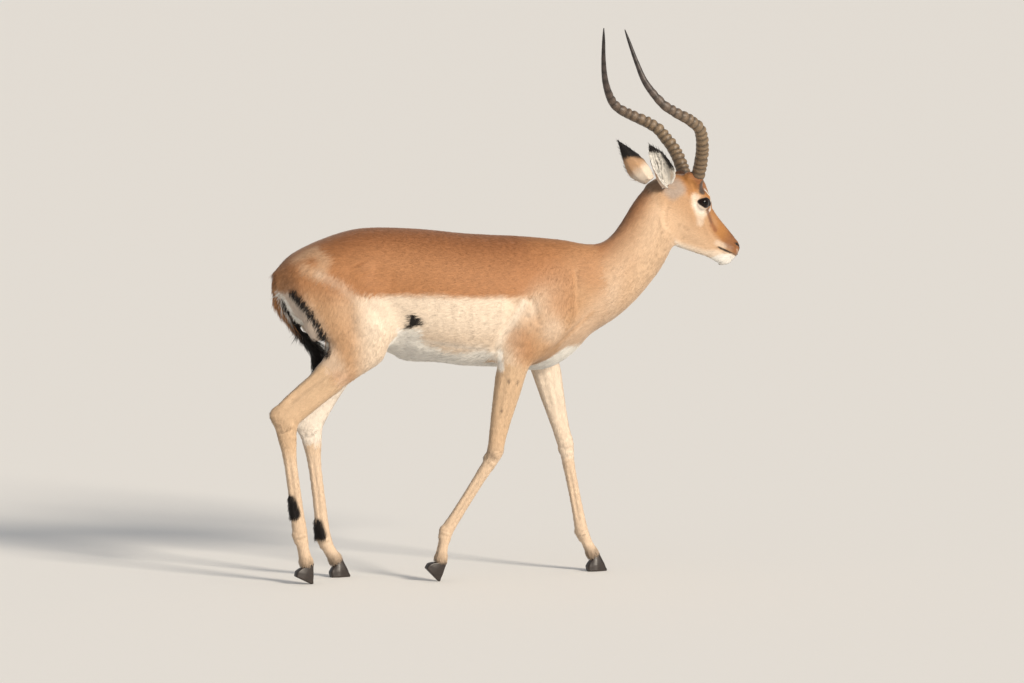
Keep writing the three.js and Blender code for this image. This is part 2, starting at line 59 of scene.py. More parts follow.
camera_data = bpy.data.cameras.new("camera")
camera_data.lens, camera_data.sensor_width = LENS_MM, SENSOR_MM
camera = bpy.data.objects.new("camera", camera_data)
bpy.context.scene.collection.objects.link(camera)
level_share = math.cos(VIEW_ELEVATION)
towards_camera = Vector((
    math.sin(VIEW_AZIMUTH) * level_share, -math.cos(VIEW_AZIMUTH) * level_share, math.sin(VIEW_ELEVATION)))
camera.location = LOOK_AT + towards_camera * VIEW_DISTANCE
camera.rotation_euler = towards_camera.to_track_quat("Z", "Y").to_euler()
bpy.context.scene.camera = camera

# ---------------------------------------------------------------- skin: shape
# The hide is one closed skin over the whole animal. It starts from the solids of the flesh, which are fused,
# eased into round muscle, drawn in by the depth of the coat and then given folds, lids, nostrils and lips.
MM = 0.001
FLESH = [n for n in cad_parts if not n.startswith(("eye", "horn")) and "hoof" not in n]
EARS = ["ear_left", "ear_right"]
RUMP_X = -433.0  # of the trunk's hind end, in the body's own millimetres
SEAM_CLOSED_BY = 0.35  # each solid is pushed out by this to close the cuts between them
COARSE, FINE = 4.0, 2.7  # grid of the two fusings

trunk_low, trunk_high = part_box("trunk")
BODY_AT = np.array([trunk_low.x / MM - RUMP_X, (trunk_low.y + trunk_high.y) / 2 / MM, 0.0])


def read(items, key, width, kind=float):
    """One key of a mesh's items as an array, a row to an item."""
    flat = np.empty(len(items) * width, kind)
    items.foreach_get(key, flat)
    return flat.reshape(-1, width)


def points_of(mesh):
    return read(mesh.vertices, "co", 3) / MM - BODY_AT


def normals_of(mesh):
    return read(mesh.vertex_normals, "vector", 3)


def place(mesh, points):
    mesh.vertices.foreach_set("co", ((points + BODY_AT) * MM).ravel())
    mesh.update()


def mesh_object(name, mesh):
    made = bpy.data.objects.new(name, mesh)
    bpy.context.scene.collection.objects.link(made)
    return made


def mesh_from(work, name):
    """The mesh that a bmesh holds. The bmesh is freed."""
    mesh = bpy.data.meshes.new(name)
    work.to_mesh(mesh)
    work.free()
    return mesh


def joined(meshes, name):
    whole = bmesh.new()
    for mesh in meshes:
        whole.from_mesh(mesh)
    return mesh_from(whole, name)


def swollen_copy(node):
    """A copy of a flesh solid, its vertices merged and pushed out across the cut's gap."""
    shell = bmesh.new()
    shell.from_mesh(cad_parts[node].data)
    bmesh.ops.remove_doubles(shell, verts=shell.verts, dist=0.01 * MM)
    mesh = mesh_from(shell, node + "_flesh")
    place(mesh, points_of(mesh) + normals_of(mesh) * SEAM_CLOSED_BY)
    return mesh


def settled(host):
    """What an object's modifiers make of it, as a plain mesh. The object goes."""
    bpy.context.view_layer.update()
    result = bpy.data.meshes.new_from_object(host.evaluated_get(bpy.context.evaluated_depsgraph_get()))
    bpy.data.objects.remove(host)
    return result


def modified(mesh, kind, **settings):
    """The mesh after one modifier."""
    host = mesh_object("host", mesh)
    modifier = host.modifiers.new("step", kind)
    for key, value in settings.items():
        setattr(modifier, key, value)
    return settled(host)


def fused(meshes, grid):
    return modified(joined(meshes, "fused"), "REMESH", mode="VOXEL", voxel_size=grid * MM)


def edges_of(mesh):
    return read(mesh.edges, "vertices", 2, np.int32)


def relaxed(values, edges, strength, turns):
    """Values on vertices drawn towards the mean of their neighbours, over and over."""
    first, second = edges.T
    count = len(values)
    linked = np.maximum(np.bincount(first, minlength=count) + np.bincount(second, minlength=count), 1)
    values = np.array(values, float)
    for _ in range(turns):
        for k in range(values.shape[1]):
            column = values[:, k]
            near = np.bincount(first, column[second], count) + np.bincount(second, column[first], count)
            column += strength * (near / linked - column)
    return values


def eased(points, edges, strength, turns):
    """Smooths facets away, and gives back most of the bulk that smoothing takes."""
    soft = relaxed(points, edges, strength, turns)
    return soft + relaxed(points - soft, edges, strength, turns)


def eased_over(points, edges, reach, grid):
    """Eased over a reach in millimetres that differs from place to place."""
    full_turns = reach**2 / (0.45 * grid**2)  # so many turns at full strength smooth over that reach
    turns = int(full_turns.max())
    return eased(points, edges, full_turns / turns, turns)


node_meshes = {n: swollen_copy(n) for n in FLESH}
tree_points, tree_faces, tree_nodes = [], [], []
for index, name in enumerate(FLESH):
    offset = len(tree_points)
    tree_points += [tuple(p) for p in points_of(node_meshes[name])]
    for polygon in node_meshes[name].polygons:
        tree_faces.append([v + offset for v in polygon.vertices])
        tree_nodes.append(index)
flesh_tree = BVHTree.FromPolygons(tree_points, tree_faces)


def region_of(points):
    """For each point, the index in FLESH of the solid that it lies on."""
    return np.array([tree_nodes[flesh_tree.find_nearest(p)[2]] for p in points])


def by_region(regions, **amounts):
    """A number for each vertex from its solid's name: of the first key that the name starts or ends with."""
    table = []
    for name in FLESH:
        keys = [k for k in amounts if name.endswith(k) or name.startswith(k) or k == "rest"]
        table.append(amounts[keys[0]])
    return np.array(table, float)[regions]


def polyline_near(points, path):
    """How far each point is from a path, the nearest place on it, and how far along it that is (0 to 1)."""
    path = np.array(path, float)
    if len(path) == 1:
        path = np.repeat(path, 2, axis=0)
    best = np.full(len(points), np.inf)
    place_at = np.zeros_like(points)
    share = np.zeros(len(points))
    steps = len(path) - 1
    for i, (a, b) in enumerate(zip(path[:-1], path[1:])):
        run = b - a
        t = np.clip((points - a) @ run / max(run @ run, 1e-9), 0, 1)
        at = a + t[:, None] * run
        far = np.linalg.norm(points - at, axis=1)
        closer = far < best
        best = np.where(closer, far, best)
        place_at[closer] = at[closer]
        share[closer] = (i + t[closer]) / steps
    return best, place_at, share


# first fusing: the whole body, eased until no facet shows
body_mesh = fused([node_meshes[n] for n in FLESH if n not in EARS], COARSE)
points, edges = points_of(body_mesh), edges_of(body_mesh)
# millimetres that each part is eased over
BODY_REACH = dict(trunk=30, neck=24, thigh=24, shoulder=26, gaskin=14, forearm=13, cannon=8, pastern=7,
                  tail=9, head=13, rest=8)
reach = relaxed(by_region(region_of(points), **BODY_REACH)[:, None], edges, 0.6, 30)[:, 0]
points = eased_over(points, edges, reach, COARSE)
place(body_mesh, points)

# the head's own directions, from its eyes
HEAD_PITCH, HEAD_YAW = math.radians(35), math.radians(16)
EYE_ALONG, EYE_ABOVE = 74.5, 31.0
PITCH_SHARE, YAW_SHARE = math.cos(HEAD_PITCH), math.cos(HEAD_YAW)
ALONG = np.array([PITCH_SHARE * YAW_SHARE, PITCH_SHARE * math.sin(HEAD_YAW), -math.sin(HEAD_PITCH)])
BESIDE = np.array([-math.sin(HEAD_YAW), YAW_SHARE, 0.0])
ABOVE = np.cross(ALONG, BESIDE)
HEAD_AXES = np.array([ALONG, ABOVE, BESIDE])
EYES = {s: np.array(sum(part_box("eye_" + s), Vector()) / 2) / MM - BODY_AT for s in ("left", "right")}
HEAD_AT = (EYES["left"] + EYES["right"]) / 2 - EYE_ALONG * ALONG - EYE_ABOVE * ABOVE


def in_head(places):
    """Places of the body as [along, above, beside] in the head."""
    return (places - HEAD_AT) @ HEAD_AXES.T


def from_head(places):
    """Places of the head as [x, y, z] in the body."""
    return np.asarray(places, float) @ HEAD_AXES + HEAD_AT


def direction_from_head(run):
    """A unit direction of the body from one given in the head."""
    turned = from_head(run) - HEAD_AT
    return turned / np.linalg.norm(turned)


EYE_RADIUS = 19.5
LID_THICKNESS = 1.9


def ball_mesh(centre, radius, detail=4):
    ball = bmesh.new()
    bmesh.ops.create_icosphere(ball, subdivisions=detail, radius=1)
    mesh = mesh_from(ball, "ball")
    unit_ball = (points_of(mesh) + BODY_AT) * MM
    place(mesh, unit_ball * radius + centre)
    return mesh


HORN_ROOT = np.array([(37, 58, 28), (26, 80, 37)], float)  # a collar of skin hides the foot of each horn
HORN_COLLAR = (21.5, 19.2)  # its radius at its foot and its top


def collar_mesh(sign):
    foot, top = from_head(HORN_ROOT * (1, 1, sign))
    turn = Vector(top - foot).to_track_quat("Z", "Y").to_matrix().to_4x4()
    turn.translation = Vector(((foot + top) / 2 + BODY_AT) * MM)
    low, high = (radius * MM for radius in HORN_COLLAR)
    cone = bmesh.new()
    bmesh.ops.create_cone(cone, cap_ends=True, segments=40, radius1=low, radius2=high,
                          depth=float(np.linalg.norm(top - foot)) * MM, matrix=turn)
    return mesh_from(cone, "collar")


# second fusing: the eased body with the head, the ears and closed lids over the eyes
lids = [ball_mesh(EYES[s], EYE_RADIUS + LID_THICKNESS) for s in EYES]
ears = [node_meshes[n] for n in EARS]
skin_mesh = fused([body_mesh, node_meshes["head"], *ears, *lids, collar_mesh(1), collar_mesh(-1)], FINE)
points, edges = points_of(skin_mesh), edges_of(skin_mesh)
regions = region_of(points)
SKIN_REACH = dict(head=5, ear=4.5, neck=7, trunk=6, thigh=6, shoulder=6, tail=6, rest=4)
NECK_JOIN_REACH = 13
of_head = relaxed(by_region(regions, head=1, ear=1, rest=0)[:, None], edges, 0.9, 60)[:, 0]
reach = by_region(regions, **SKIN_REACH)
junction = 4 * of_head * (1 - of_head) * (by_region(regions, ear=0, rest=1))
reach = reach + (NECK_JOIN_REACH - reach) * np.clip(junction, 0, 1)
reach = relaxed(reach[:, None], edges, 0.6, 6)[:, 0]
points = eased_over(points, edges, reach, FINE)
place(skin_mesh, points)

# ---- drawn in by the depth of the coat
COAT_DEPTH = dict(trunk=3.0, neck=2.6, thigh=2.4, shoulder=2.4, gaskin=1.6, forearm=1.4, cannon=1.0,
                  pastern=0.6, head=1.0, tail=1.0, ear=0.5)
depth = relaxed(by_region(regions, **COAT_DEPTH)[:, None], edges, 0.8, 25)
points = points - normals_of(skin_mesh) * depth

# the dock of the tail is slimmer than its hair
TAIL_PATH = [
    (-385, 0, 806), (-415, 0, 782), (-426, 0, 747), (-411, 0, 704), (-388, 0, 668), (-356, 0, 628),
    (-330, 0, 592), (-324, 0, 566),
]
of_tail = relaxed(by_region(regions, tail=1, rest=0)[:, None], edges, 0.8, 12)[:, 0]
_, tail_centre, tail_share = polyline_near(points, TAIL_PATH)
slim = of_tail * np.clip(0.3 + 0.35 * tail_share, 0, 0.6)
points = points + slim[:, None] * (tail_centre - points)

# the right ear is turned so that its hollow faces sideways, and its tip is broad
EAR_LINES = {  # root and tip of each ear in the head
    "ear_left": [(-46, 14, 38), (-157, 60, 99)],
    "ear_right": [(-38, 12, -38), (-160, 56, -96)],
}
EAR_OPEN = {"ear_left": (0.25, 0.05, 1), "ear_right": (0.25, 0.05, -1)}  # where each hollow faces
EAR_BROADER = 0.55
ear_root, ear_tip = from_head(EAR_LINES["ear_right"])
ear_run = ear_tip - ear_root
ear_share = (points - ear_root) @ ear_run / (ear_run @ ear_run)
ear_across = np.cross(ear_run, from_head(EAR_OPEN["ear_right"]) - HEAD_AT)
ear_across *= np.sign(ear_across @ ALONG) / np.linalg.norm(ear_across)
of_ear = by_region(regions, ear_right=1, rest=0)
of_ear *= np.clip((ear_share - 0.45) / 0.4, 0, 1) * np.clip((1.06 - ear_share) / 0.16, 0.3, 1)
points = points + ear_across * (EAR_BROADER * of_ear * ((points - ear_root) @ ear_across))[:, None]
place(skin_mesh, points)


# ---- finer mesh where the face is finely made
def refined(mesh, chosen):
    """Each chosen face cut into four."""
    work = bmesh.new()
    work.from_mesh(mesh)
    work.faces.ensure_lookup_table()
    cut = {e for i in np.flatnonzero(chosen) for e in work.faces[i].edges}
    bmesh.ops.subdivide_edges(work, edges=list(cut), cuts=1, use_grid_fill=True)
    work.to_mesh(mesh)
    work.free()
    return mesh


def face_centres(mesh):
    return read(mesh.polygons, "center", 3) / MM - BODY_AT


def near_eyes(places, reach):
    return np.minimum(*(np.linalg.norm(places - EYES[s], axis=1) for s in EYES)) < reach


FINE_EYES, FINEST_EYES = 44, 30  # from the eyeball's middle
FINE_MUZZLE, FINEST_MUZZLE, FINEST_ABOVE = 186, 190, -46  # along the head and above its line
centres = face_centres(skin_mesh)
refined(skin_mesh, near_eyes(centres, FINE_EYES) | (in_head(centres)[:, 0] > FINE_MUZZLE))
centres = face_centres(skin_mesh)
along, above, beside = in_head(centres).T
muzzle = (along > FINEST_MUZZLE) & (above > FINEST_ABOVE) & (np.abs(beside) > 1)
refined(skin_mesh, near_eyes(centres, FINEST_EYES) | muzzle)
points, edges = points_of(skin_mesh), edges_of(skin_mesh)
still = relaxed(points, edges, 0.5, 3)
made_finer = near_eyes(points, FINE_EYES + 2) | (in_head(points)[:, 0] > FINE_MUZZLE - 2)
place(skin_mesh, np.where(made_finer[:, None], still, points))


def bell(distance, width):
    """1 at nought, falling smoothly to 0 at the width."""
    return np.clip(1 - (distance / width) ** 2, 0, 1) ** 2


class Sculpt:
    """Raises and sinks the skin along its normals, with strokes given on the body or in the head."""

    def __init__(self, mesh):
        self.mesh = mesh
        self.points = points_of(mesh)
        self.normals = normals_of(mesh)
        self.head = in_head(self.points)
        self.move = np.zeros(len(self.points))

    def stroke(self, path, width, height, space=None, side=0, taper=True, squeeze=1.0):
        """A ridge (or a groove, with a height under nought) along 3D places, on both sides or on one.

        With squeeze under 1, places count as nearer than they are from side to side."""
        middle = 1 if space is None else 2
        folded = (self.points if space is None else space).copy()
        wrong_side = folded[:, middle] * side < 0
        folded[:, middle] = np.abs(folded[:, middle]) * squeeze
        path = np.array(path, float)
        path[:, middle] *= squeeze
        low, high = path.min(0) - width, path.max(0) + width
        inside = np.flatnonzero(((folded > low) & (folded < high)).all(1) & ~wrong_side)
        far, _, share = polyline_near(folded[inside], path)
        ends = np.clip(np.minimum(share, 1 - share) / 0.2, 0.15, 1) if taper else 1
        self.move[inside] += height * bell(far, width) * ends

    def flank(self, path, width, height, from_y=0, to_y=400, side=0):
        """A stroke seen from the side, given as [x, z]. It works wherever the skin faces outwards."""
        outward = np.clip(np.abs(self.normals[:, 1]) * 1.4, 0, 1)
        flat = self.points.copy()
        flat[:, 1] = 0
        path = np.array([(x, 0, z) for x, z in path], float)
        low, high = path.min(0) - width, path.max(0) + width
        y = np.abs(self.points[:, 1])
        chosen = ((flat > low - 1) & (flat < high + 1)).all(1) & (y > from_y) & (y < to_y)
        if side:
            chosen &= self.points[:, 1] * side > 0
        inside = np.flatnonzero(chosen)
        far, _, share = polyline_near(flat[inside], path)
        ends = np.clip(np.minimum(share, 1 - share) / 0.2, 0.1, 1)
        self.move[inside] += height * bell(far, width) * ends * outward[inside]

    def apply(self):
        place(self.mesh, self.points + self.normals * self.move[:, None])
        self.__init__(self.mesh)


sculpt = Sculpt(skin_mesh)

# ---- face: brow, cheek, folds, nostrils and lips, as [along, above, beside] in the head
EYE_CENTRE = (EYE_ALONG, EYE_ABOVE, 41.0)
FACE = [  # path, width, height
    ([(50, 44, 48), (62, 56, 44), (78, 58, 42), (92, 50, 41)], 14, 3.0),  # brow
    ([(97, 32, 46), (119, 19, 41), (149, 3, 33)], 5.5, -2.2),  # tear line before the eye
    ([(98, 42, 40), (124, 27, 33), (160, 12, 27)], 8, 0.9),
    ([(92, 4, 46), (125, -14, 38), (165, -26, 29)], 9, 1.4),  # facial crest
    ([(48, 22, 53), (15, 14, 53), (-20, 10, 48)], 11, 1.6),  # cheekbone
    ([(-12, -14, 47), (0, -55, 42), (30, -90, 30)], 13, -2.4),  # hind edge of the jaw
    ([(20, -80, 34), (60, -90, 24), (110, -82, 18)], 10, 1.2),  # lower edge of the jaw
    ([(58, -52, 40), (92, -50, 36), (112, -30, 37)], 9, -1.3),  # fore edge of the cheek muscle
    ([(-6, 46, 52), (8, 28, 54), (12, 8, 54), (2, -14, 52)], 5, 1.7),  # folds round the ear's root
    ([(-12, 38, 52), (0, 22, 54), (4, 6, 54), (-6, -10, 51)], 4.5, -1.9),
    ([(-20, 30, 51), (-8, 16, 53), (-5, 2, 52), (-14, -10, 49)], 4.5, 1.5),
    ([(-27, 20, 48), (-18, 8, 50), (-18, -4, 49)], 4.5, -1.7),
    ([(10, 62, 40), (30, 52, 47), (46, 40, 51)], 7, -1.2),
    ([(247, 5, 9), (240, 13, 13), (230, 13, 17), (220, 6, 20)], 6, 1.5),  # wing of the nostril
    ([(250, -5, 8), (245, 3, 12), (239, 7, 15), (232, 6, 18)], 3.6, -6.0),  # nostril
    ([(240, 2, 16), (233, 4, 19)], 3.0, -3.0),
    ([(258, -1, 0), (258, -13, 0)], 2.6, -1.4),  # cleft under the nose
    ([(257, -6, 4), (246, -12, 13), (228, -17, 18), (205, -22, 23)], 6.5, 1.1),  # upper lip
    ([(256, -20, 4), (240, -26, 14), (226, -30, 18), (205, -34, 22)], 6, 0.9),  # lower lip
    ([(258, -13, 0), (253, -15, 8), (241, -19.5, 15), (228, -23, 18.5), (212, -26.5, 21.5), (194, -29, 24)],
     2.3, -3.0),  # line of the mouth
    ([(192, -26, 25), (186, -34, 25)], 5, -0.8),  # corner of the mouth
    ([(257, -9, 0), (254, -17, 0)], 13, 5.0),  # fullness of the upper lip
    ([(248, -30, 0), (238, -44, 0), (224, -54, 0)], 17, 6.0),  # chin
    ([(20, -100, 0), (80, -95, 0), (140, -80, 0), (190, -64, 0)], 30, 4.5),  # between the jaws
    ([(44, 82, 0), (72, 70, 0), (98, 54, 0), (122, 38, 0)], 36, 7.0),  # forehead
]
for path, width, height in FACE:
    centred = all(beside == 0 for _, _, beside in path)
    sculpt.stroke(path, width, height, space=sculpt.head, squeeze=1.0 if centred else 0.45)
sculpt.apply()

# ---- lids: each is opened over its eyeball along an almond line that runs up towards the horns
LID_TILT = math.radians(23)
LID_LONG, LID_HIGH, LID_LOW = 21.5, 13.0, 11.0  # from the eye's middle to the lids' edge, over the ball
outward = np.array([0.22, 0.08, 0.97])
outward /= np.linalg.norm(outward)
lengthways = np.array([math.cos(LID_TILT), math.sin(LID_TILT), 0.0])
lengthways -= outward * (lengthways @ outward)
lengthways /= np.linalg.norm(lengthways)
upwards = np.cross(outward, lengthways)


def lid_place(head_points):
    """Across and up the eye, how far outside the lid's edge, and the distance from the eyeball's middle."""
    folded = head_points.copy()
    folded[:, 2] = np.abs(folded[:, 2])
    offset = folded - EYE_CENTRE
    radius = np.maximum(np.linalg.norm(offset, axis=1), 1e-6)
    flat_across, flat_up, out = offset @ lengthways, offset @ upwards, offset @ outward
    flat = np.maximum(np.hypot(flat_across, flat_up), 1e-6)
    arc = EYE_RADIUS * np.arctan2(flat, out) / flat
    across, up = flat_across * arc, flat_up * arc
    turn = np.arctan2(up, across)
    high = np.where(up > 0, LID_HIGH, LID_LOW)
    edge = 1 / np.sqrt((np.cos(turn) / LID_LONG) ** 2 + (np.sin(turn) / high) ** 2)
    edge *= 1 - 0.1 * np.abs(np.sin(2 * turn)) ** 1.5
    return across, up, np.hypot(across, up) - edge, radius, offset, out


across, up, beyond_lid, radius, offset, out = lid_place(sculpt.head)
facing = np.clip(out / 12, 0, 1) * np.clip((50 - radius) / 8, 0, 1)
SOCKET_RADIUS, SOCKET_WIDTH, SOCKET_RISE = 27, 12, 2.4  # the bony rim round the eye
from_rim = np.abs(np.hypot(offset @ lengthways, offset @ upwards) - SOCKET_RADIUS)
sculpt.move += SOCKET_RISE * (bell(from_rim, SOCKET_WIDTH) * facing)
upper_fold = -1.5 * bell(np.abs(beyond_lid - 6.5), 3.2) + 0.7 * bell(np.abs(beyond_lid - 2.4), 3.0)
lower_fold = -0.9 * bell(np.abs(beyond_lid - 7.5), 4.0) + 0.6 * bell(np.abs(beyond_lid - 3), 3.0)
sculpt.move += facing * (up > 0) * upper_fold
sculpt.move += facing * (up <= 0) * lower_fold
sculpt.apply()
across, up, beyond_lid, radius, offset, out = lid_place(sculpt.head)
LID_EDGE = 1.2  # how far the lids' rounded edge reaches beyond its line
sunk = np.clip((LID_EDGE - beyond_lid) / 1.6, 0, 1)
opened = (out > 0) & (radius < 24) & (beyond_lid < LID_EDGE)
covering = ~opened & (out > 0) & (radius < EYE_RADIUS + LID_EDGE)
opened_radius = (1 - sunk) * np.minimum(radius, EYE_RADIUS + 1.6) + sunk * (EYE_RADIUS - 2.2)
head_points = sculpt.head
for moved, new_radius in ((opened, opened_radius), (covering, EYE_RADIUS + LID_EDGE)):
    scaled = offset * (new_radius / radius)[:, None] + EYE_CENTRE
    scaled[:, 2] *= np.sign(sculpt.head[:, 2])
    head_points = np.where(moved[:, None], scaled, head_points)
place(skin_mesh, from_head(head_points))
sculpt = Sculpt(skin_mesh)

# ---- limbs: joints from the shoulder or hip down, in [x, z], and how far each is beside the body's middle
LIMBS = {
    "hind_right": (-1, [(-290, 808), (-190, 610), (-417, 414), (-376, 120), (-360, 51)], 77),
    "hind_left": (1, [(-290, 808), (-178, 638), (-323, 387), (-287, 92), (-256, 42)], 77),
    "fore_right": (-1, [(262, 806), (248, 668), (171, 562), (122, 315), (-2, 120), (-13, 52)], 80),
    "fore_left": (1, [(288, 806), (306, 668), (283, 566), (349, 322), (392, 96), (420, 42)], 80),
}


def on_limb(joints, bone, along, front):
    """[x, z] at a share of a bone's length, and some way in front of its line."""
    a, b = np.array(joints[bone], float), np.array(joints[bone + 1], float)
    run = (b - a) / np.linalg.norm(b - a)
    return tuple(a + (b - a) * along + front * np.array([-run[1], run[0]]))


HIND_LINES = [  # bone, [(share, front)...], width, height
    (1, [(0.30, -22), (0.55, -30), (0.78, -34), (0.93, -34)], 13, -4.0),  # hollow before the heel's tendon
    (1, [(0.30, -48), (0.60, -47), (0.90, -48)], 9, 1.4),
    (1, [(0.15, 8), (0.45, 4), (0.75, 8)], 11, -1.5),
    (2, [(0.02, 4), (0.05, 10)], 17, 2.6),  # sides of the hock
    (2, [(0.0, -24), (0.1, -16)], 10, -1.8),
    (2, [(0.22, -5), (0.55, -5), (0.88, -6)], 6.5, -2.0),  # between the cannon bone and its tendons
    (2, [(0.97, -2), (1.0, 0)], 17, 1.8),  # fetlock
]
FORE_LINES = [
    (2, [(0.06, 10), (0.40, 5), (0.80, 2)], 9, -1.7),
    (2, [(0.08, -16), (0.35, -14), (0.6, -12)], 9, -1.3),
    (2, [(0.92, 0), (1.0, 4)], 13, 1.7),  # wrist
    (3, [(0.04, 2), (0.09, 2)], 12, 1.5),
    (3, [(0.16, -5), (0.5, -5), (0.88, -6)], 6.5, -2.0),
    (3, [(0.97, -2), (1.0, 0)], 16, 1.8),
]
for name, (side, joints, beside) in LIMBS.items():
    hind = name.startswith("hind")
    for bone, path, width, height in HIND_LINES if hind else FORE_LINES:
        sculpt.flank([on_limb(joints, bone, t, f) for t, f in path], width, height, 30, 140, side)
    cannon = len(joints) - 3

    def spot(bone, along, front, lateral=0):
        x, z = on_limb(joints, bone, along, front)
        return (x, beside + lateral, z)

    bumps = [
        ([spot(cannon, 0.97, -17), spot(cannon + 1, 0.08, -16)], 15, 3.0),  # back of the fetlock
        ([spot(cannon + 1, 0.35, 14), spot(cannon + 1, 1.0, 17)], 6, -3.2),  # cleft between the toes
        ([spot(cannon + 1, 0.25, -15), spot(cannon + 1, 1.0, -18)], 7, -3.6),
    ]
    if hind:
        bumps.append(([spot(1, 0.99, -50), spot(2, 0.03, -46)], 17, 2.6))  # point of the hock
    else:
        bumps += [
            ([spot(2, 0.94, 20), spot(3, 0.07, 15)], 22, 1.8),  # front of the wrist
            ([spot(2, 1.0, -22)], 14, 3.0),  # small bone behind it
            ([spot(2, -0.02, -42, 8)], 24, 3.2),  # point of the elbow
        ]
    for path, width, height in bumps:
        sculpt.stroke(path, width, height, side=side, taper=False)
sculpt.apply()

# ---- muscles, bones and folds of the body, seen from the side as [x, z]
BODY = [  # path, width, height, how far from the middle it starts
    ([(150, 745), (168, 700), (160, 655), (128, 610)], 30, -4.0, 30),  # behind the shoulder blade
    ([(215, 770), (238, 715), (262, 660), (258, 610)], 42, 3.0, 30),  # shoulder blade and point
    ([(205, 735), (225, 690), (232, 650)], 16, -2.2, 40),  # fore edge of the upper arm
    ([(172, 690), (190, 640), (182, 600)], 30, 3.0, 40),
    ([(116, 572), (124, 606), (139, 645), (159, 671)], 13, -2.6, 50),
    ([(139, 640), (120, 600), (112, 575)], 12, 1.6, 50),
    ([(228, 560), (288, 602), (324, 632), (364, 662), (392, 682)], 12, -2.2, 10),  # fold above the breast
    ([(342, 806), (343, 760), (341, 716), (346, 670)], 13, -1.8, 10),  # root of the neck
    ([(368, 800), (380, 740), (376, 680)], 32, 0.8, 10),
    ([(420, 830), (500, 880), (570, 925)], 20, -1.6, 10),  # groove of the neck's vein
    ([(395, 740), (470, 800), (540, 850)], 26, 1.8, 10),
    ([(-221, 738), (-190, 722), (-165, 700), (-150, 670), (-128, 640)], 22, 0.6, 60),  # fold of the flank
    ([(-190, 745), (-150, 720), (-126, 690), (-116, 655)], 28, -0.9, 60),
    ([(-205, 800), (-170, 780), (-130, 772)], 40, -2.0, 60),  # hollow before the hip
    ([(-228, 818), (-214, 790)], 36, 2.4, 60),  # point of the hip
    ([(-245, 790), (-262, 720), (-250, 650), (-215, 600)], 24, -2.4, 60),
    ([(-330, 770), (-345, 700), (-322, 630), (-285, 580)], 22, -2.0, 50),
    ([(-300, 760), (-300, 690), (-280, 620)], 26, 1.8, 60),
    ([(-200, 680), (-185, 640), (-200, 600)], 24, 2.2, 60),  # knee of the hind leg
    ([(-222, 610), (-250, 560), (-300, 510)], 16, -1.8, 60),
    ([(-110, 600), (-47, 580), (20, 568), (90, 560)], 34, 8.0, 30),  # fullness of the belly
    ([(-90, 700), (-98, 650), (-80, 615)], 12, 0.5, 60),
    ([(-20, 735), (-32, 670), (-10, 620)], 12, 0.4, 60),  # ribs
    ([(26, 742), (14, 670), (32, 615)], 12, 0.5, 60),
    ([(72, 745), (60, 670), (76, 610)], 12, 0.5, 60),
    ([(114, 740), (102, 680), (104, 630)], 12, 0.4, 60),
]
for path, width, height, from_y in BODY:
    sculpt.flank(path, width, height, from_y)
sculpt.apply()

# ---------------------------------------------------------------- skin: lie of the hair, markings and finish
# The hide carries the colours of the hair over it: a rufous saddle, fawn sides, white below, black stripes,
# with some painted shade and highlight.
# Its mesh is thinned here, so that it is light to store. Each vertex learns its colour and how its hair lies,
# and what can't be made as single hairs is drawn on the hide as fine strands.
SKIN_TRIANGLES = 178_000
triangles_now = sum(len(p.vertices) - 2 for p in skin_mesh.polygons)
thinned_to = SKIN_TRIANGLES / triangles_now
skin_mesh = modified(skin_mesh, "DECIMATE", ratio=thinned_to, use_collapse_triangulate=True)
skin_mesh.name = "skin"
skin_points, skin_edges, skin_normals = points_of(skin_mesh), edges_of(skin_mesh), normals_of(skin_mesh)
skin_regions = region_of(skin_points)


def unit(vectors):
    return vectors / np.maximum(np.linalg.norm(vectors, axis=1), 1e-9)[:, None]


def along_path(points, path):
    """The direction of the nearest stretch of a path."""
    runs = unit(np.diff(np.array(path, float), axis=0))
    share = polyline_near(points, path)[2]
    return runs[np.minimum((share * len(runs)).astype(int), len(runs) - 1)]


def limb_path(name):
    """A limb's joints as [x, y, z], from its name or the name of a solid on it."""
    side, joints, beside = LIMBS[next(k for k in LIMBS if name.startswith(k))]
    return [(x, side * beside, z) for x, z in joints]


LIE = dict(trunk=(-1, 0, -0.22), neck=(-0.62, 0, -0.78), thigh=(-0.42, 0, -0.9), shoulder=(-0.45, 0, -0.9))
lie = np.zeros_like(skin_points)
for index, name in enumerate(FLESH):
    here = skin_regions == index
    if not here.any():
        continue
    part_key = next((k for k in LIE if name.endswith(k)), None)
    if part_key:
        lie[here] = LIE[part_key]
    elif name == "head":
        lie[here] = from_head((-0.95, -0.32, 0)) - HEAD_AT
    elif name == "tail":
        lie[here] = along_path(skin_points[here], TAIL_PATH)
    elif name in EAR_LINES:
        root, tip = from_head(EAR_LINES[name])
        lie[here] = tip - root
    else:
        lie[here] = along_path(skin_points[here], limb_path(name))
lie = relaxed(unit(lie), skin_edges, 0.7, 14)
lie = unit(lie - skin_normals * (lie * skin_normals).sum(1)[:, None])


def linear(hex_colour):
    """A linear colour from an sRGB hex value."""
    parts = [int(hex_colour[i : i + 2], 16) / 255 for i in (1, 3, 5)]
    return tuple(c / 12.92 if c <= 0.04045 else ((c + 0.055) / 1.055) ** 2.4 for c in parts)


def ramp(value, low, high):
    """0 below low, 1 above high, smooth between."""
    t = np.clip((value - low) / (high - low), 0, 1)
    return t * t * (3 - 2 * t)


def wobble(points, size, seed):
    """A smooth random value, -1 to 1, that changes over about this many millimetres."""
    shift = Vector((seed * 17.3, seed * 5.1, seed * 9.7))
    return np.array([noise.noise(Vector(p) / size + shift) for p in points]) * 1.6


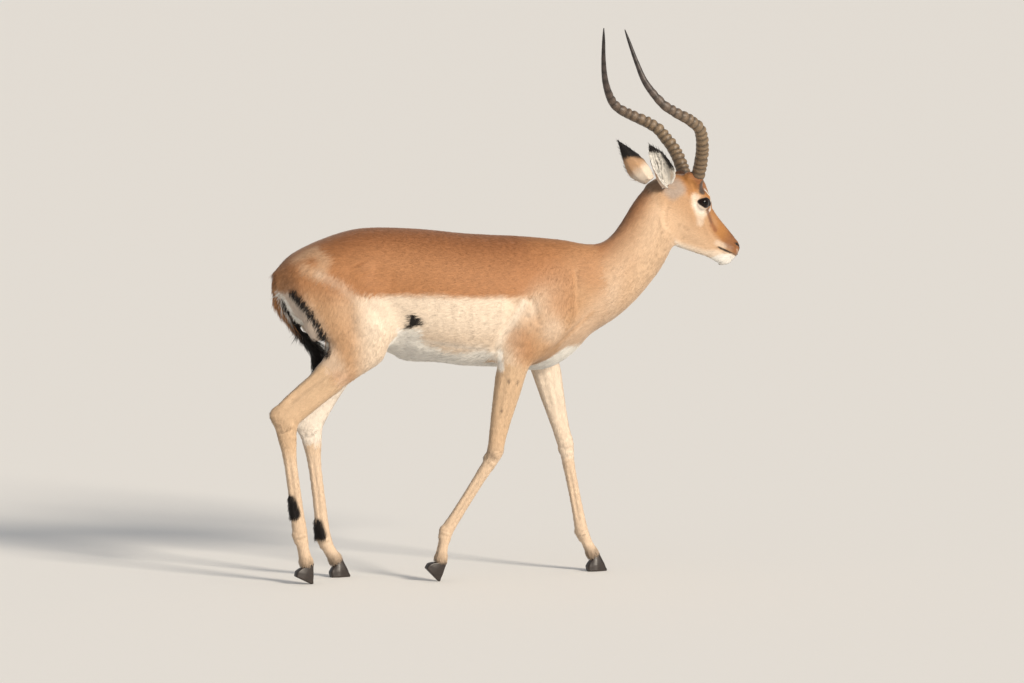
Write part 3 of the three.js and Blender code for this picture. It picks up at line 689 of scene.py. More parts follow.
HAIR = dict(  # the colours of the ram's hair
    rufous="#B07B50", crown="#905C38", tan="#C29A75", fawn="#DABC9D", cream="#EAD9C5", white="#F4EFE6",
    black="#16100E", smoke="#54443A", orange="#AC7640", rust="#845533", grey="#A8978A", leg="#CEAF8E",
)
HAIR_TONES = {name: np.array(linear(shade)) for name, shade in HAIR.items()}
PARTS = (*EARS, "head", "neck", "trunk", "tail", "shoulder", "forearm", "thigh", "gaskin", "cannon",
         "pastern")
# lines of the markings, seen from the side as [x, z]
SADDLE_EDGE = [
    (-433, 748), (-360, 742), (-312, 736), (-221, 735), (-131, 737), (-29, 734), (76, 729), (156, 728),
    (260, 735),
]
BELLY_EDGE = [
    (-330, 560), (-200, 640), (-130, 650), (-102, 652), (-72, 650), (-66, 630), (-41, 607), (5, 592),
    (70, 586), (129, 577), (200, 560), (250, 532),
]
BREAST_EDGE = [(200, 545), (246, 550), (276, 566), (319, 596), (345, 600), (440, 600)]
BUTTOCK_STRIPE = [(-392, 746), (-382, 734), (-358, 700), (-326, 650), (-311, 618), (-308, 592)]
# painted shadow: a black wedge where the flank folds in before the thigh
FLANK_FOLD_SHADOW = [(-98, 691), (-88, 691), (-63, 669), (-69, 660), (-104, 651)]  # clockwise
GLANDS = {"hind_right": [(-405, 214), (-395, 186)], "hind_left": [(-306, 138), (-296, 112)]}
SCARS = [(-1, 157, 512, 5), (-1, 181, 510, 4), (-1, 140, 436, 4), (1, 308, 447, 5), (1, 313, 401, 4)]
SIDEWAYS_SHARE = 0.3  # on the face, a mark's distance counts this much from side to side
GLAND_SHARE = 0.7  # and on a gland, this much


def parts_of(regions):
    """For each part of the body, which places lie on it."""
    return {part: by_region(regions, **{part: 1, "rest": 0}) > 0 for part in PARTS}


def fall(value, low, high):
    """1 below low, 0 above high, smooth between."""
    return 1 - ramp(value, low, high)


def gland_far(points, limb):
    """How far each point is from the black gland on a hind limb."""
    side, _, beside = LIMBS[limb]
    path = [(x, side * beside * GLAND_SHARE, z) for x, z in GLANDS[limb]]
    return polyline_near(points * (1, GLAND_SHARE, 1), path)[0]


def path_mask(points, path, width, soft):
    """1 within the width of a path, 0 beyond width + soft."""
    return fall(polyline_near(points, path)[0], width, width + soft)


def height_over(x, z, edge):
    xs, zs = np.array(edge, float).T
    return z - np.interp(x, xs, zs)


def painted(points, normals, regions):
    """The linear colour of the hair at places on the skin, from the broad tones to the small marks, with some
    shade and highlight painted in.
    """
    on = parts_of(regions)
    x, y, z = points.T
    flat = points[:, ::2]  # as seen from the side
    out_y = np.abs(y)
    upward = normals[:, 2]
    inward = -np.sign(y) * normals[:, 1]
    colour = np.tile(HAIR_TONES["tan"], (len(points), 1))

    def lay(name, mask):
        colour[:] += (HAIR_TONES[name] - colour) * np.clip(mask, 0, 1)[:, None]

    broad = wobble(points, 70, 1)
    fine = wobble(points * (0.5, 1, 1), 9, 2)
    hips = on["thigh"] | on["trunk"]
    on_body = hips | on["shoulder"] | on["neck"]
    shins = on["forearm"] | on["cannon"] | on["pastern"]

    # sides: fawn, paler towards the belly; limbs a little yellower than the thigh
    sides = ramp(x, -260, -190) * fall(x, 130, 215) * on_body
    lay("fawn", sides)
    lay("cream", 0.85 * sides * (1 - 0.35 * ramp(-height_over(x, z, SADDLE_EDGE), 60, 130)))
    lay("cream", 0.3 * on["shoulder"] * ramp(z, 600, 700) * fall(x, 250, 330))
    lay("cream", 0.2 * on["thigh"] * ramp(x + 0.5 * (z - 650), -290, -190))
    lay("cream", 0.45 * on["thigh"] * fall(x + 0.55 * (z - 650), -338, -296))
    lay("leg", on["gaskin"] | shins)

    # saddle, crown of the neck and rump
    over = height_over(x, z, SADDLE_EDGE) + 2.0 * fine + 3 * broad
    soft = 11 + 45 * fall(x, -320, -215)
    saddle = ramp(over / soft, -1, 1) * fall(x - 0.9 * (z - 760), 185, 300) * on_body
    lay("rufous", saddle)
    lay("rufous", 0.5 * on_body * path_mask(flat, [(262, 800), (292, 760), (300, 722)], 14, 52))
    lay("rufous", 0.7 * hips * path_mask(flat, [(-418, 800), (-392, 750)], 8, 34))
    lay("crown", 0.85 * saddle * ramp(upward, 0.25, 0.9) * (0.35 + 0.65 * ramp(x, -370, -240)))
    lay("rufous", 0.45 * on["trunk"] * ramp(upward, 0.2, 0.9) * ramp(x, 200, 300))
    on_neck = on["neck"] & (x > 150)
    down_neck = x * 0.72 - z * 0.7
    withers = ramp(z + 0.25 * (x - 300), 735, 800) * ramp(x, 190, 260) * fall(x, 380, 470)
    lay("rufous", 0.55 * on_neck * fall(down_neck, -300, -190))
    lay("rufous", 0.55 * on_body * withers)
    lay("crown", 0.75 * on_neck * ramp(upward - 0.5 * normals[:, 0], 0.3, 1.05))
    lay("rufous", 0.25 * on_neck)
    lay("fawn", 0.55 * on_neck * ramp(down_neck, -300, -225))
    fore_neck = on_neck | (on["trunk"] & (x > 300))
    lay("cream", 0.3 * fore_neck * ramp(down_neck, -245, -190) * fall(x, 430, 500))
    lay("fawn", 0.6 * on_neck * ramp(x - 0.3 * (z - 900), 505, 565) * fall(upward, 0.5, 0.9))
    lay("cream", 0.4 * on_body * path_mask(flat, [(276, 639)], 10, 42) * (out_y > 40))
    lay("cream", 0.45 * on_body * path_mask(flat, [(211, 701)], 8, 30) * (out_y > 40))
    breast_crease_shade = [(228, 560), (288, 602), (324, 632), (364, 662), (392, 682)]
    neck_crease_shade = [(342, 790), (343, 740), (341, 700)]
    hip_pale = [(-380, 834), (-335, 852), (-310, 826), (-332, 792), (-362, 806)]
    croup_pale = [(-330, 792), (-285, 770), (-225, 722)]
    # painted shade: darker tan lines in the creases above the breast and at the root of the neck
    lay("tan", 0.5 * on_body * path_mask(flat, breast_crease_shade, 1.5, 9))
    lay("tan", 0.4 * on_body * path_mask(flat, neck_crease_shade, 1.5, 8) * (out_y > 30))
    lay("fawn", 0.45 * path_mask(flat, hip_pale, 3, 24) * ramp(out_y, 14, 44))
    lay("cream", 0.3 * path_mask(flat, croup_pale, 1, 20) * (out_y > 60))

    # belly, breast, arm pits and inner thighs
    under = -height_over(x, z, BELLY_EDGE) + 5 * fine + 5 * broad
    below_breast = -height_over(x, z, BREAST_EDGE) + 2 * fine
    inner = ramp(inward, 0.05, 0.6)
    lay("white", ramp(under, -7, 7) * (x > -330) * (x < 250) * (on["trunk"] | (on["thigh"] & (out_y < 92))))
    lay("white", ramp(below_breast, -4, 4) * (x >= 200) * (on["trunk"] | on["neck"]))
    lay("white", on["trunk"] * ramp(-upward, 0.45, 0.8) * (x > -400) * (z < 620) * fall(x, 205, 240))
    lay("white", 0.9 * inner * (on["thigh"] | on["shoulder"]) * fall(z, 628, 652))
    lay("white", 0.65 * inner * on["gaskin"])
    lay("cream", 0.7 * ramp(inward, 0.0, 0.6) * on["forearm"])
    lay("cream", 0.15 * ramp(inward, 0.0, 0.6) * (on["cannon"] | on["pastern"]))
    lay("white", 0.15 * ramp(inward, 0.3, 0.9) * on["forearm"] * ramp(z, 300, 500))
    lay("cream", 0.28 * fall(z, 300, 360) * shins)

    # hindquarters: white between two black stripes, and black glands above the fetlocks
    stripe_far = polyline_near(flat, BUTTOCK_STRIPE)[0]
    stripe_x = np.interp(-z, [-750, -700, -647, -592], [-392, -358, -325, -308])
    rear = fall(x - stripe_x, -4, 4) * fall(z, 728, 750) * (z > 590) * (x < stripe_x + 40)
    lay("white", rear * hips)
    # painted shade: the white behind the buttock stripe is greyed and browned on its outer side
    lay("grey", 0.3 * rear * hips * (out_y > 30))
    lay("tan", 0.4 * rear * hips * (out_y > 30))
    lay("white", (out_y < 58) * (x < -180) * (z < 655) * (upward < 0.3) * hips)
    stripe_parts = (hips | on["gaskin"]) * (inward < 0.2) * (out_y > 36)
    lay("black", fall(stripe_far + 2 * fine, 5.5, 9.5) * stripe_parts)
    for limb in GLANDS:
        lay("black", fall(gland_far(points, limb), 13, 20))
    # painted shadow: the flank's fold is filled in black, with white hair below its tip
    inside_fold_shadow = np.full(len(points), 9.0)
    for (x1, z1), (x2, z2) in zip(FLANK_FOLD_SHADOW, FLANK_FOLD_SHADOW[1:] + FLANK_FOLD_SHADOW[:1]):
        within = ((x - x1) * (z2 - z1) - (z - z1) * (x2 - x1)) / math.hypot(x2 - x1, z2 - z1)
        inside_fold_shadow = np.minimum(inside_fold_shadow, within)
    lay("black", ramp(inside_fold_shadow + 1.2 * fine, -2, 1.5) * (out_y > 60) * (y * normals[:, 1] > 0))
    fold_shadow_tip = [(-92, 642), (-76, 640)]
    arm_fold_highlight = [(196, 716), (170, 674), (146, 634), (133, 606), (126, 575)]
    behind_elbow = fall(x - 32 * (out_y < 78), 118, 132) * fall(z, 582, 594) * (x > 60)
    lay("white", 0.7 * path_mask(flat, fold_shadow_tip, 6, 12) * (out_y > 50) * (inside_fold_shadow < -2))
    # painted highlight: a cream streak along the ridge of the fold behind the upper arm
    lay("cream", 0.75 * path_mask(flat, arm_fold_highlight, 4, 12) * (out_y > 60))
    lay("rufous", 0.5 * path_mask(flat, [(182, 622), (196, 598)], 14, 34) * (out_y > 60) * (x > 135))
    lay("white", 0.9 * behind_elbow * (on["shoulder"] | on["trunk"]))
    lay("rufous", 0.35 * path_mask(flat, [(-282, 532), (-256, 522)], 8, 24) * (out_y > 60))
    elbow_back = (out_y > 50) * (normals[:, 0] < 0.2)
    lay("white", 0.85 * path_mask(flat, [(137, 588), (139, 545)], 3.5, 7) * elbow_back)
    for side, a, b, size in SCARS:
        scar = path_mask(flat, [(a, b)], size * 0.6, size * 0.7)
        lay("smoke", 0.7 * scar * (y * side > 0) * (inward < 0.3))
    lay("smoke", 0.35 * on["forearm"] * path_mask(flat, [(100, 330), (118, 318)], 5, 12))
    lay("smoke", 0.55 * on["pastern"] * fall(z, 44, 74))

    # tail: brown above, white at its edges, a black line down its middle
    _, centre, share = polyline_near(points, TAIL_PATH)
    down = along_path(points, TAIL_PATH)
    from_middle = (points - centre) * np.column_stack([down[:, 2], 0 * x, -down[:, 0]])
    rearward = from_middle.sum(1) / 12 + 0.15 * fine
    lay("rufous", on["tail"])
    lay("crown", 0.5 * on["tail"] * ramp(rearward, 0.4, 1.0))
    lay("white", on["tail"] * fall(rearward, -0.2, 0.0) * ramp(share, 0.04, 0.1))
    lay("black", on["tail"] * fall(rearward, -0.55, -0.38) * ramp(share, 0.06, 0.14))
    lay("black", on["tail"] * ramp(share + 0.1 * (rearward < 0.2), 0.56, 0.68))

    # ears: pale behind with a black tip, white hair inside between dark streaks
    for name, line in EAR_LINES.items():
        root, tip = from_head(line)
        run = tip - root
        opening = direction_from_head(EAR_OPEN[name])
        here = on[name]
        t = (points - root) @ run / (run @ run) + 0.03 * fine
        inside = ramp(normals @ opening, 0.0, 0.35)
        crosswise = unit(np.cross([run], [opening]))[0]
        crosswise *= np.sign(crosswise @ ALONG)
        half_width = np.interp(t, [0, 0.35, 0.7, 1], [16, 27, 20, 6])
        forward = (points - root - t[:, None] * run) @ crosswise / half_width
        streaks = ramp(np.sin((points @ crosswise) * 0.75 + 2.2 * fine) + 0.6 * fine, 0.0, 0.9)
        streaked = path_mask(np.column_stack([t, forward]) * (60, 22), [(14, -4), (46, 6)], 6, 14)
        lay("tan", here)
        lay("cream", here * (1 - inside) * fall(t, 0.2, 0.4))
        lay("black", here * (1 - inside) * ramp(t + 0.12 * np.clip(forward, -0.5, 1), 0.52, 0.6))
        lay("white", here * inside)
        lay("black", 0.85 * here * inside * streaks * streaked)
        lay("black", here * inside * ramp(forward, 0.66, 0.84) * ramp(t, 0.22, 0.34))
        lay("black", here * ramp(t + 0.08 * forward, 0.74, 0.81))

    # head: broad tones first
    head = in_head(points)
    folded = head.copy()
    folded[:, 2] = np.abs(head[:, 2])
    along, above, beside = folded.T
    flattened = folded * (1, 1, SIDEWAYS_SHARE)
    on_head = on["head"]
    brow = ramp(above - 0.42 * (120 - along) * (along < 120), 8, 34)
    lay("tan", on_head)
    lay("fawn", 0.6 * on_head * fall(above, -60, 5))
    lay("orange", on_head * brow * ramp(along, -30, 20))
    lay("crown", 0.9 * on_head * ramp(along, -40, 0) * fall(along, 50, 90) * ramp(above, 44, 62))
    lay("orange", on_head * ramp(along, 120, 175) * ramp(above + 0.1 * along, -4, 14))
    lay("rust", 0.85 * on_head * ramp(along, 176, 215) * ramp(above, -26, -12))

    def face_mask(path, width, soft):
        return path_mask(flattened, np.array(path) * (1, 1, SIDEWAYS_SHARE), width, soft)

    def face(marks):
        for name, path, width, soft, strength in marks:
            lay(name, strength * face_mask(path, width, soft) * on_head)

    face([
        ("orange", [(-31, 50, 40), (0, 53, 44), (21, 46, 50), (34, 38, 52)], 9, 16, 0.9),
        ("cream", [(98, 12, 46), (78, 9, 49), (60, 15, 51), (48, 29, 51)], 5, 12, 0.75),  # under the eye
        ("cream", [(80, 4, 49), (97, -4, 46), (104, -12, 44)], 4, 12, 0.6),
        ("white", [(90, 12, 47), (76, 10, 49), (62, 15, 51)], 3, 8, 0.5),
        ("grey", [(-30, 22, 50), (-12, 36, 52), (4, 26, 54), (-8, 0, 52), (-24, 2, 48)], 5, 18, 0.85),
        ("grey", [(-14, 18, 52)], 8, 24, 0.45),  # temple
    ])
    # painted shade: dark lines in the creases of the folds round the ear's root
    face([  # folds round the ear's root
        ("smoke", [(-6 - s, 38 - s / 2, 52), (5 - s, 22, 54), (5 - s, 6, 54), (-6 - s, -10, 52)], 0.3, 3, 0.4)
        for s in (0, 8, 16)
    ])
    face([
        ("white", [(68, 64, 39), (86, 57, 38), (102, 45, 37), (110, 31, 38), (108, 20, 42)], 1.6, 4, 1.0),
        ("smoke", [(44, 71, 40), (50, 62, 44), (57, 53, 47)], 5, 6, 1.0),
        ("crown", [(101, 27, 45), (119, 17, 41), (141, 5, 36), (158, -1, 32)], 2, 8, 0.9),  # tear line
        ("smoke", [(100, 27, 46), (118, 17, 41), (134, 8, 37)], 0.8, 6, 0.6),
    ])
    jaw_at = [0, 60, 110, 170, 186, 198, 228, 256]
    jaw_edge = np.interp(along, jaw_at, [-108, -90, -75, -56, -44, -36, -26.5, -20])
    white_at = [0, 60, 110, 182, 199, 210, 232, 256]
    white_edge = np.interp(along, white_at, [-112, -100, -90, -76, -60, -42, -27, -20])
    lay("cream", 0.75 * on_head * fall(above - jaw_edge, -8, 6))
    lay("white", on_head * fall(above - white_edge, -4, 4 + 6 * (along < 180)))
    face([
        ("cream", [(182, -24, 27), (204, -20, 24)], 3, 8, 0.5),  # upper lip
        ("grey", [(206, -16, 23), (226, -12, 18)], 2, 8, 0.25),
        ("black", [(176, -47, 33)], 1.5, 2, 0.7),
    ])
    from_pad = np.sqrt(((along - 258) / 14) ** 2 + ((above + 7) / 11) ** 2 + (beside / 11.5) ** 2)
    lay("black", on_head * fall(from_pad, 0.88, 1.08))
    mouth = [(258, -17, 0), (240, -20.5, 14), (228, -24, 18.5), (212, -27.5, 21.5), (193, -31, 24)]
    face([
        ("black", [(251, -4, 8), (245, 4, 12), (238, 7, 15), (232, 6, 17.5)], 2.0, 2.5, 1.0),  # nostril
        ("cream", [(247, -10, 12), (242, -6, 15)], 1, 3, 0.6),
        ("black", mouth, 1.3, 2.6, 0.95),
    ])
    # painted shadow: a soft dark patch under each ear, where the ear's shadow falls on the nape
    ear_shadow_on_nape = face_mask([(-84, 2, 30), (-72, -16, 36), (-50, 0, 40), (-66, 10, 34)], 9, 12)
    lay("smoke", 0.6 * ear_shadow_on_nape * (on_head | on["neck"]))
    across, up, beyond, radius = lid_place(head)[:4]
    spread = np.hypot(across, up)
    lay("black", on_head * fall(spread / np.maximum(spread - beyond, 1), 1.12, 1.3) * (radius < 34))
    return colour


def set_colours(mesh, label, colours):
    """Stores a colour for each vertex."""
    whole = np.column_stack([colours, np.ones(len(colours))])
    mesh.color_attributes.new(label, "FLOAT_COLOR", "POINT").data.foreach_set("color", whole.ravel())


set_colours(skin_mesh, "hair_colour", painted(skin_points, skin_normals, skin_regions))
# how far the hair at each vertex runs along the body, slantwise and down, as three shares
lie_shares = np.column_stack([np.abs(lie[:, 0]) ** 3, np.zeros(len(lie)), np.abs(lie[:, 2]) ** 3])
lie_shares[:, 1] = np.clip(1 - lie_shares.sum(1), 0, 1) ** 1.5
lie_shares /= lie_shares.sum(1)[:, None]
skin_mesh.attributes.new("hair_run", "FLOAT_VECTOR", "POINT").data.foreach_set("vector", lie_shares.ravel())


def add_node(tree, kind, settings=None, inputs=None):
    """A node with its settings and its inputs: each a value, or the socket that feeds it."""
    made = tree.nodes.new(kind)
    for key, value in (settings or {}).items():
        setattr(made, key, value)
    for key, given in (inputs or {}).items():
        if isinstance(given, bpy.types.NodeSocket):
            tree.links.new(given, made.inputs[key])
        else:
            made.inputs[key].default_value = given
    return made


def new_material(name):
    material = bpy.data.materials.new(name)
    material.use_nodes = True
    material.node_tree.nodes.clear()
    return material, material.node_tree


STRAND_DRAWN_OUT = 7.0  # how much longer than wide the strands are in the pattern


def strand_pattern(tree, at, strand_mm):
    """Fine strands that follow the coat: along the body, slantwise on neck and face, and down the legs."""
    runs = add_node(tree, "ShaderNodeAttribute", {"attribute_name": "hair_run"})
    shares = add_node(tree, "ShaderNodeSeparateXYZ", inputs={0: runs.outputs["Vector"]})
    pattern = None
    for axis, degrees in (("X", 0), ("Y", 50), ("Z", 90)):
        turned = add_node(tree, "ShaderNodeMapping", {"vector_type": "TEXTURE"}, {
            0: at, "Rotation": (0, math.radians(degrees), 0), "Scale": (STRAND_DRAWN_OUT, 1.0, 1.0)})
        strands = add_node(tree, "ShaderNodeTexNoise", inputs={
            "Vector": turned.outputs[0], "Scale": 1 / (strand_mm * MM), "Detail": 2.0, "Roughness": 0.6})
        share = add_node(tree, "ShaderNodeMath", {"operation": "MULTIPLY"}, {
            0: strands.outputs["Fac"], 1: shares.outputs[axis]}).outputs[0]
        if pattern is None:
            pattern = share
        else:
            both = add_node(tree, "ShaderNodeMath", {"operation": "ADD"}, {0: pattern, 1: share})
            pattern = both.outputs[0]
    return pattern


def hair_material(name, strand_mm=0.0, patch_mm=0.0, bump_mm=0.0, lightness=(0.8, 1.14)):
    # hair is hollow keratin with a thin scaly skin: it scatters light softly, and has only a little shine at
    # a low angle, which the sheen gives; its tone varies from strand to strand or from patch to patch
    material, tree = new_material(name)
    tone = add_node(tree, "ShaderNodeAttribute", {"attribute_name": "hair_colour"})
    at = add_node(tree, "ShaderNodeTexCoord").outputs["Object"]
    if strand_mm:
        pattern = strand_pattern(tree, at, strand_mm)
    else:
        pattern = add_node(tree, "ShaderNodeTexNoise", inputs={
            "Vector": at, "Scale": 1 / (patch_mm * MM), "Detail": 3.0}).outputs["Fac"]
    spread = add_node(tree, "ShaderNodeMapRange", inputs={
        "Value": pattern, "From Min": 0.3, "From Max": 0.7, "To Min": lightness[0], "To Max": lightness[1]})
    shade = add_node(tree, "ShaderNodeHueSaturation", inputs={
        "Color": tone.outputs["Color"], "Value": spread.outputs[0]})
    surface = add_node(tree, "ShaderNodeBsdfPrincipled", inputs={
        "Base Color": shade.outputs[0], "Roughness": 0.6, "Sheen Weight": 0.25, "Sheen Roughness": 0.45,
        "Specular IOR Level": 0.3})
    if bump_mm:
        bump = add_node(tree, "ShaderNodeBump", inputs={
            "Height": pattern, "Strength": 1.0, "Distance": bump_mm * MM})
        tree.links.new(bump.outputs[0], surface.inputs["Normal"])
    add_node(tree, "ShaderNodeOutputMaterial", inputs={"Surface": surface.outputs["BSDF"]})
    return material


def piece_of(mesh, name, material):
    """A smooth object of one material."""
    mesh.name = name
    mesh.materials.clear()
    mesh.materials.append(material)
    mesh.shade_smooth()
    return mesh_object(name, mesh)


# a real hair is under 0.1 mm thick, too fine to show, so the pattern is drawn as locks of many hairs
short_hair = hair_material("short_hair_on_hide", strand_mm=1.6, bump_mm=0.7)
skin = piece_of(skin_mesh, "skin", short_hair)
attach(skin, "root")
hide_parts(*FLESH)

# ---------------------------------------------------------------- eyes
# Large dark eyes in the sides of the head: a wet clear cornea over a deep brown iris and a level black pupil.
# Each is one ball with the cornea's slight bulge, seated in its socket behind the lids.
IRIS, PUPIL = "#1A0E09", "#050404"
PUPIL_LONG, PUPIL_HIGH = 7.5, 4.0
CORNEA_BULGE = 0.045  # of the eyeball's radius
# a wet eye is clear and mirror-smooth, so the lamp shows in it as one small sharp light over a dark ball
eye_material, tree = new_material("cornea_over_dark_iris")
tint = add_node(tree, "ShaderNodeAttribute", {"attribute_name": "iris"})
surface = add_node(tree, "ShaderNodeBsdfPrincipled", inputs={
    "Base Color": tint.outputs["Color"], "Roughness": 0.05, "IOR": 1.36, "Specular IOR Level": 0.35})
add_node(tree, "ShaderNodeOutputMaterial", inputs={"Surface": surface.outputs["BSDF"]})
for side_name, sign in (("left", 1), ("right", -1)):
    centre = EYES[side_name]
    mesh = ball_mesh(centre, EYE_RADIUS, 5)
    ball = points_of(mesh) - centre
    out = ball @ direction_from_head(outward * (1, 1, sign)) / EYE_RADIUS
    place(mesh, ball * (1 + CORNEA_BULGE * ramp(out, 0.72, 1.0))[:, None] + centre)
    level = in_head(ball + HEAD_AT)
    pupil = fall(np.hypot(level[:, 0] / PUPIL_LONG, level[:, 1] / PUPIL_HIGH) + (out < 0) * 9, 0.8, 1.2)
    tone = np.array(linear(IRIS)) * (0.35 + 0.65 * ramp(out, 0.45, 0.6))[:, None]
    tone += (np.array(linear(PUPIL)) - tone) * pupil[:, None]
    set_colours(mesh, "iris", tone)
    eye = piece_of(mesh, "eye_" + side_name + "_ball", eye_material)
    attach(eye, "root")
    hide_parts("eye_" + side_name)

# ---------------------------------------------------------------- horns
# Lyre-shaped sheaths of keratin over bone. Rings stand proud on their front and crowd together near the
# skull, and the last third is smooth. Each is swept along its curve by Geometry Nodes.
HORN_AXIS = [  # along, above, beside, radius
    (34, 64, 30, 19), (21, 90, 42, 17.8), (-13, 127, 69, 16.8), (-45, 149, 92, 16), (-76, 162, 108, 15.2),
    (-118, 160, 120, 14.5), (-170, 151, 126, 13), (-213, 151, 123, 11.5), (-269, 173, 103, 8.3),
    (-314, 207, 86, 5.9), (-354, 244, 67, 3.9), (-376, 265, 56, 1.2),
]
HORN_DROP = {"left": 11, "right": -2}
HORN_STEPS = 520
# shares of the horn's length, with the spacing of the rings there and how far they stand out
RING_SPACING = ([0, 0.45, 0.8], [13.0, 19.0, 27.0])
RING_RISE = ([0, 0.03, 0.1, 0.5, 0.62, 0.7], [0.5, 2.5, 4.4, 4.0, 2.2, 0.0])


def smooth_path(points, count):
    """A curve through places, in even steps, with how far each is along it."""
    points = np.array(points, float)
    padded = np.vstack([2 * points[0] - points[1], points, 2 * points[-1] - points[-2]])
    made = []
    for i in range(1, len(padded) - 2):
        p0, p1, p2, p3 = padded[i - 1 : i + 3]
        for t in np.linspace(0, 1, 40, endpoint=False):
            made.append(0.5 * (2 * p1 + (p2 - p0) * t + (2 * p0 - 5 * p1 + 4 * p2 - p3) * t**2
                               + (3 * p1 - p0 - 3 * p2 + p3) * t**3))
    made = np.array(made + [points[-1]])
    run = np.r_[0, np.cumsum(np.linalg.norm(np.diff(made[:, :3], axis=0), axis=1))]
    at = np.linspace(0, run[-1], count)
    return np.column_stack([np.interp(at, run, made[:, k]) for k in range(made.shape[1])]), at


def horn_tree():
    """Sweeps a horn round its line, and raises rings and fine long grain on it."""
    tree = bpy.data.node_groups.new("ringed_horn", "GeometryNodeTree")
    sockets = tree.interface
    sockets.new_socket("Geometry", in_out="INPUT", socket_type="NodeSocketGeometry")
    for label, value in (("Ring rise", 1.0), ("Grain rise", 0.35 * MM)):
        sockets.new_socket(label, in_out="INPUT", socket_type="NodeSocketFloat").default_value = value
    sockets.new_socket("Material", in_out="INPUT", socket_type="NodeSocketMaterial")
    sockets.new_socket("Geometry", in_out="OUTPUT", socket_type="NodeSocketGeometry")
    given = add_node(tree, "NodeGroupInput").outputs
    value = {"rise scale": given["Ring rise"], "grain scale": given["Grain rise"]}
    for name in ("girth", "ring_turn", "ring_rise", "front"):
        kind = "FLOAT_VECTOR" if name == "front" else "FLOAT"
        stored = add_node(tree, "GeometryNodeInputNamedAttribute", {"data_type": kind}, {"Name": name})
        value[name] = stored.outputs["Attribute"]

    line = add_node(tree, "GeometryNodeMeshToCurve", inputs={"Mesh": given["Geometry"]})
    sized = add_node(tree, "GeometryNodeSetCurveRadius", inputs={
        "Curve": line.outputs["Curve"], "Radius": value["girth"]})
    circle = add_node(tree, "GeometryNodeCurvePrimitiveCircle", inputs={"Resolution": 44, "Radius": 1.0})
    tube = add_node(tree, "GeometryNodeCurveToMesh", inputs={
        "Curve": sized.outputs["Curve"], "Profile Curve": circle.outputs["Curve"], "Scale": value["girth"],
        "Fill Caps": True})
    outward = add_node(tree, "GeometryNodeInputNormal").outputs[0]
    facing = add_node(tree, "ShaderNodeVectorMath", {"operation": "DOT_PRODUCT"}, {
        0: outward, 1: value["front"]})
    value["frontness"] = facing.outputs["Value"]
    at = add_node(tree, "GeometryNodeInputPosition").outputs[0]
    grain = add_node(tree, "ShaderNodeTexNoise", inputs={"Vector": at, "Scale": 1 / (6 * MM), "Detail": 3.0})
    value["grain"] = grain.outputs["Fac"]
    # rounded rings, highest in front, with rough horn between them
    for name, operation, *terms in (
        ("turn", "MULTIPLY", "ring_turn", math.tau),
        ("wave", "COSINE", "turn"),
        ("swell", "MULTIPLY_ADD", "wave", 0.5, 0.5),
        ("crest", "POWER", "swell", 0.55),
        ("front share", "MULTIPLY_ADD", "frontness", 0.42, 0.58),
        ("ring shape", "MULTIPLY", "crest", "front share"),
        ("ring height", "MULTIPLY", "ring_rise", "rise scale"),
        ("ring", "MULTIPLY", "ring shape", "ring height"),
        ("level grain", "SUBTRACT", "grain", 0.5),
        ("fine rough", "MULTIPLY", "level grain", "grain scale"),
        ("rough", "MULTIPLY", "fine rough", 2.0),
        ("push", "ADD", "ring", "rough"),
    ):
        inputs = {i: value.get(term, term) for i, term in enumerate(terms)}
        value[name] = add_node(tree, "ShaderNodeMath", {"operation": operation}, inputs).outputs[0]
    push = add_node(tree, "ShaderNodeVectorMath", {"operation": "SCALE"}, {
        0: outward, "Scale": value["push"]})
    moved = add_node(tree, "GeometryNodeSetPosition", inputs={
        "Geometry": tube.outputs["Mesh"], "Offset": push.outputs[0]})
    kept = add_node(tree, "GeometryNodeStoreNamedAttribute", {"data_type": "FLOAT", "domain": "POINT"}, {
        "Geometry": moved.outputs["Geometry"], "Value": value["crest"], "Name": "ring_crest"})
    real = add_node(tree, "GeometryNodeRealizeInstances", inputs={"Geometry": kept.outputs["Geometry"]})
    dressed = add_node(tree, "GeometryNodeSetMaterial", inputs={
        "Geometry": real.outputs["Geometry"], "Material": given["Material"]})
    add_node(tree, "NodeGroupOutput", inputs={"Geometry": dressed.outputs["Geometry"]})
    return tree


def grown(tree, mesh, name, **inputs):
    """A plain mesh from a Geometry Nodes tree on a mesh, with the tree's inputs set by their identifiers."""
    host = mesh_object(name, mesh)
    modifier = host.modifiers.new("grow", "NODES")
    modifier.node_group = tree
    for item in tree.interface.items_tree:
        if item.in_out == "INPUT" and item.name in inputs:
            modifier[item.identifier] = inputs[item.name]
    return settled(host)


# horn keratin is built in long fibres: brown and dull at its rubbed foot, darkening to a smooth black tip,
# pale on the crests of the rings, with painted shade dark in the hollows between them
horn_material, tree = new_material("horn_keratin_ringed")
along_horn = add_node(tree, "ShaderNodeAttribute", {"attribute_name": "horn_share"})
crest_at = add_node(tree, "ShaderNodeAttribute", {"attribute_name": "ring_crest"})
at = add_node(tree, "ShaderNodeTexCoord").outputs["Object"]
tones = add_node(tree, "ShaderNodeValToRGB", inputs={"Fac": along_horn.outputs["Fac"]})
HORN_TONES = [
    (0.0, "#453629"), (0.06, "#75614A"), (0.3, "#806C54"), (0.5, "#6B5B4C"), (0.68, "#4F443F"),
    (0.95, "#221D1B"),
]
for i, (share, shade) in enumerate(HORN_TONES):
    element = tones.color_ramp.elements[i] if i < 2 else tones.color_ramp.elements.new(share)
    element.position, element.color = share, (*linear(shade), 1)
fibres = add_node(tree, "ShaderNodeTexNoise", inputs={
    "Vector": at, "Scale": 1 / (5 * MM), "Detail": 6.0, "Roughness": 0.65}).outputs["Fac"]
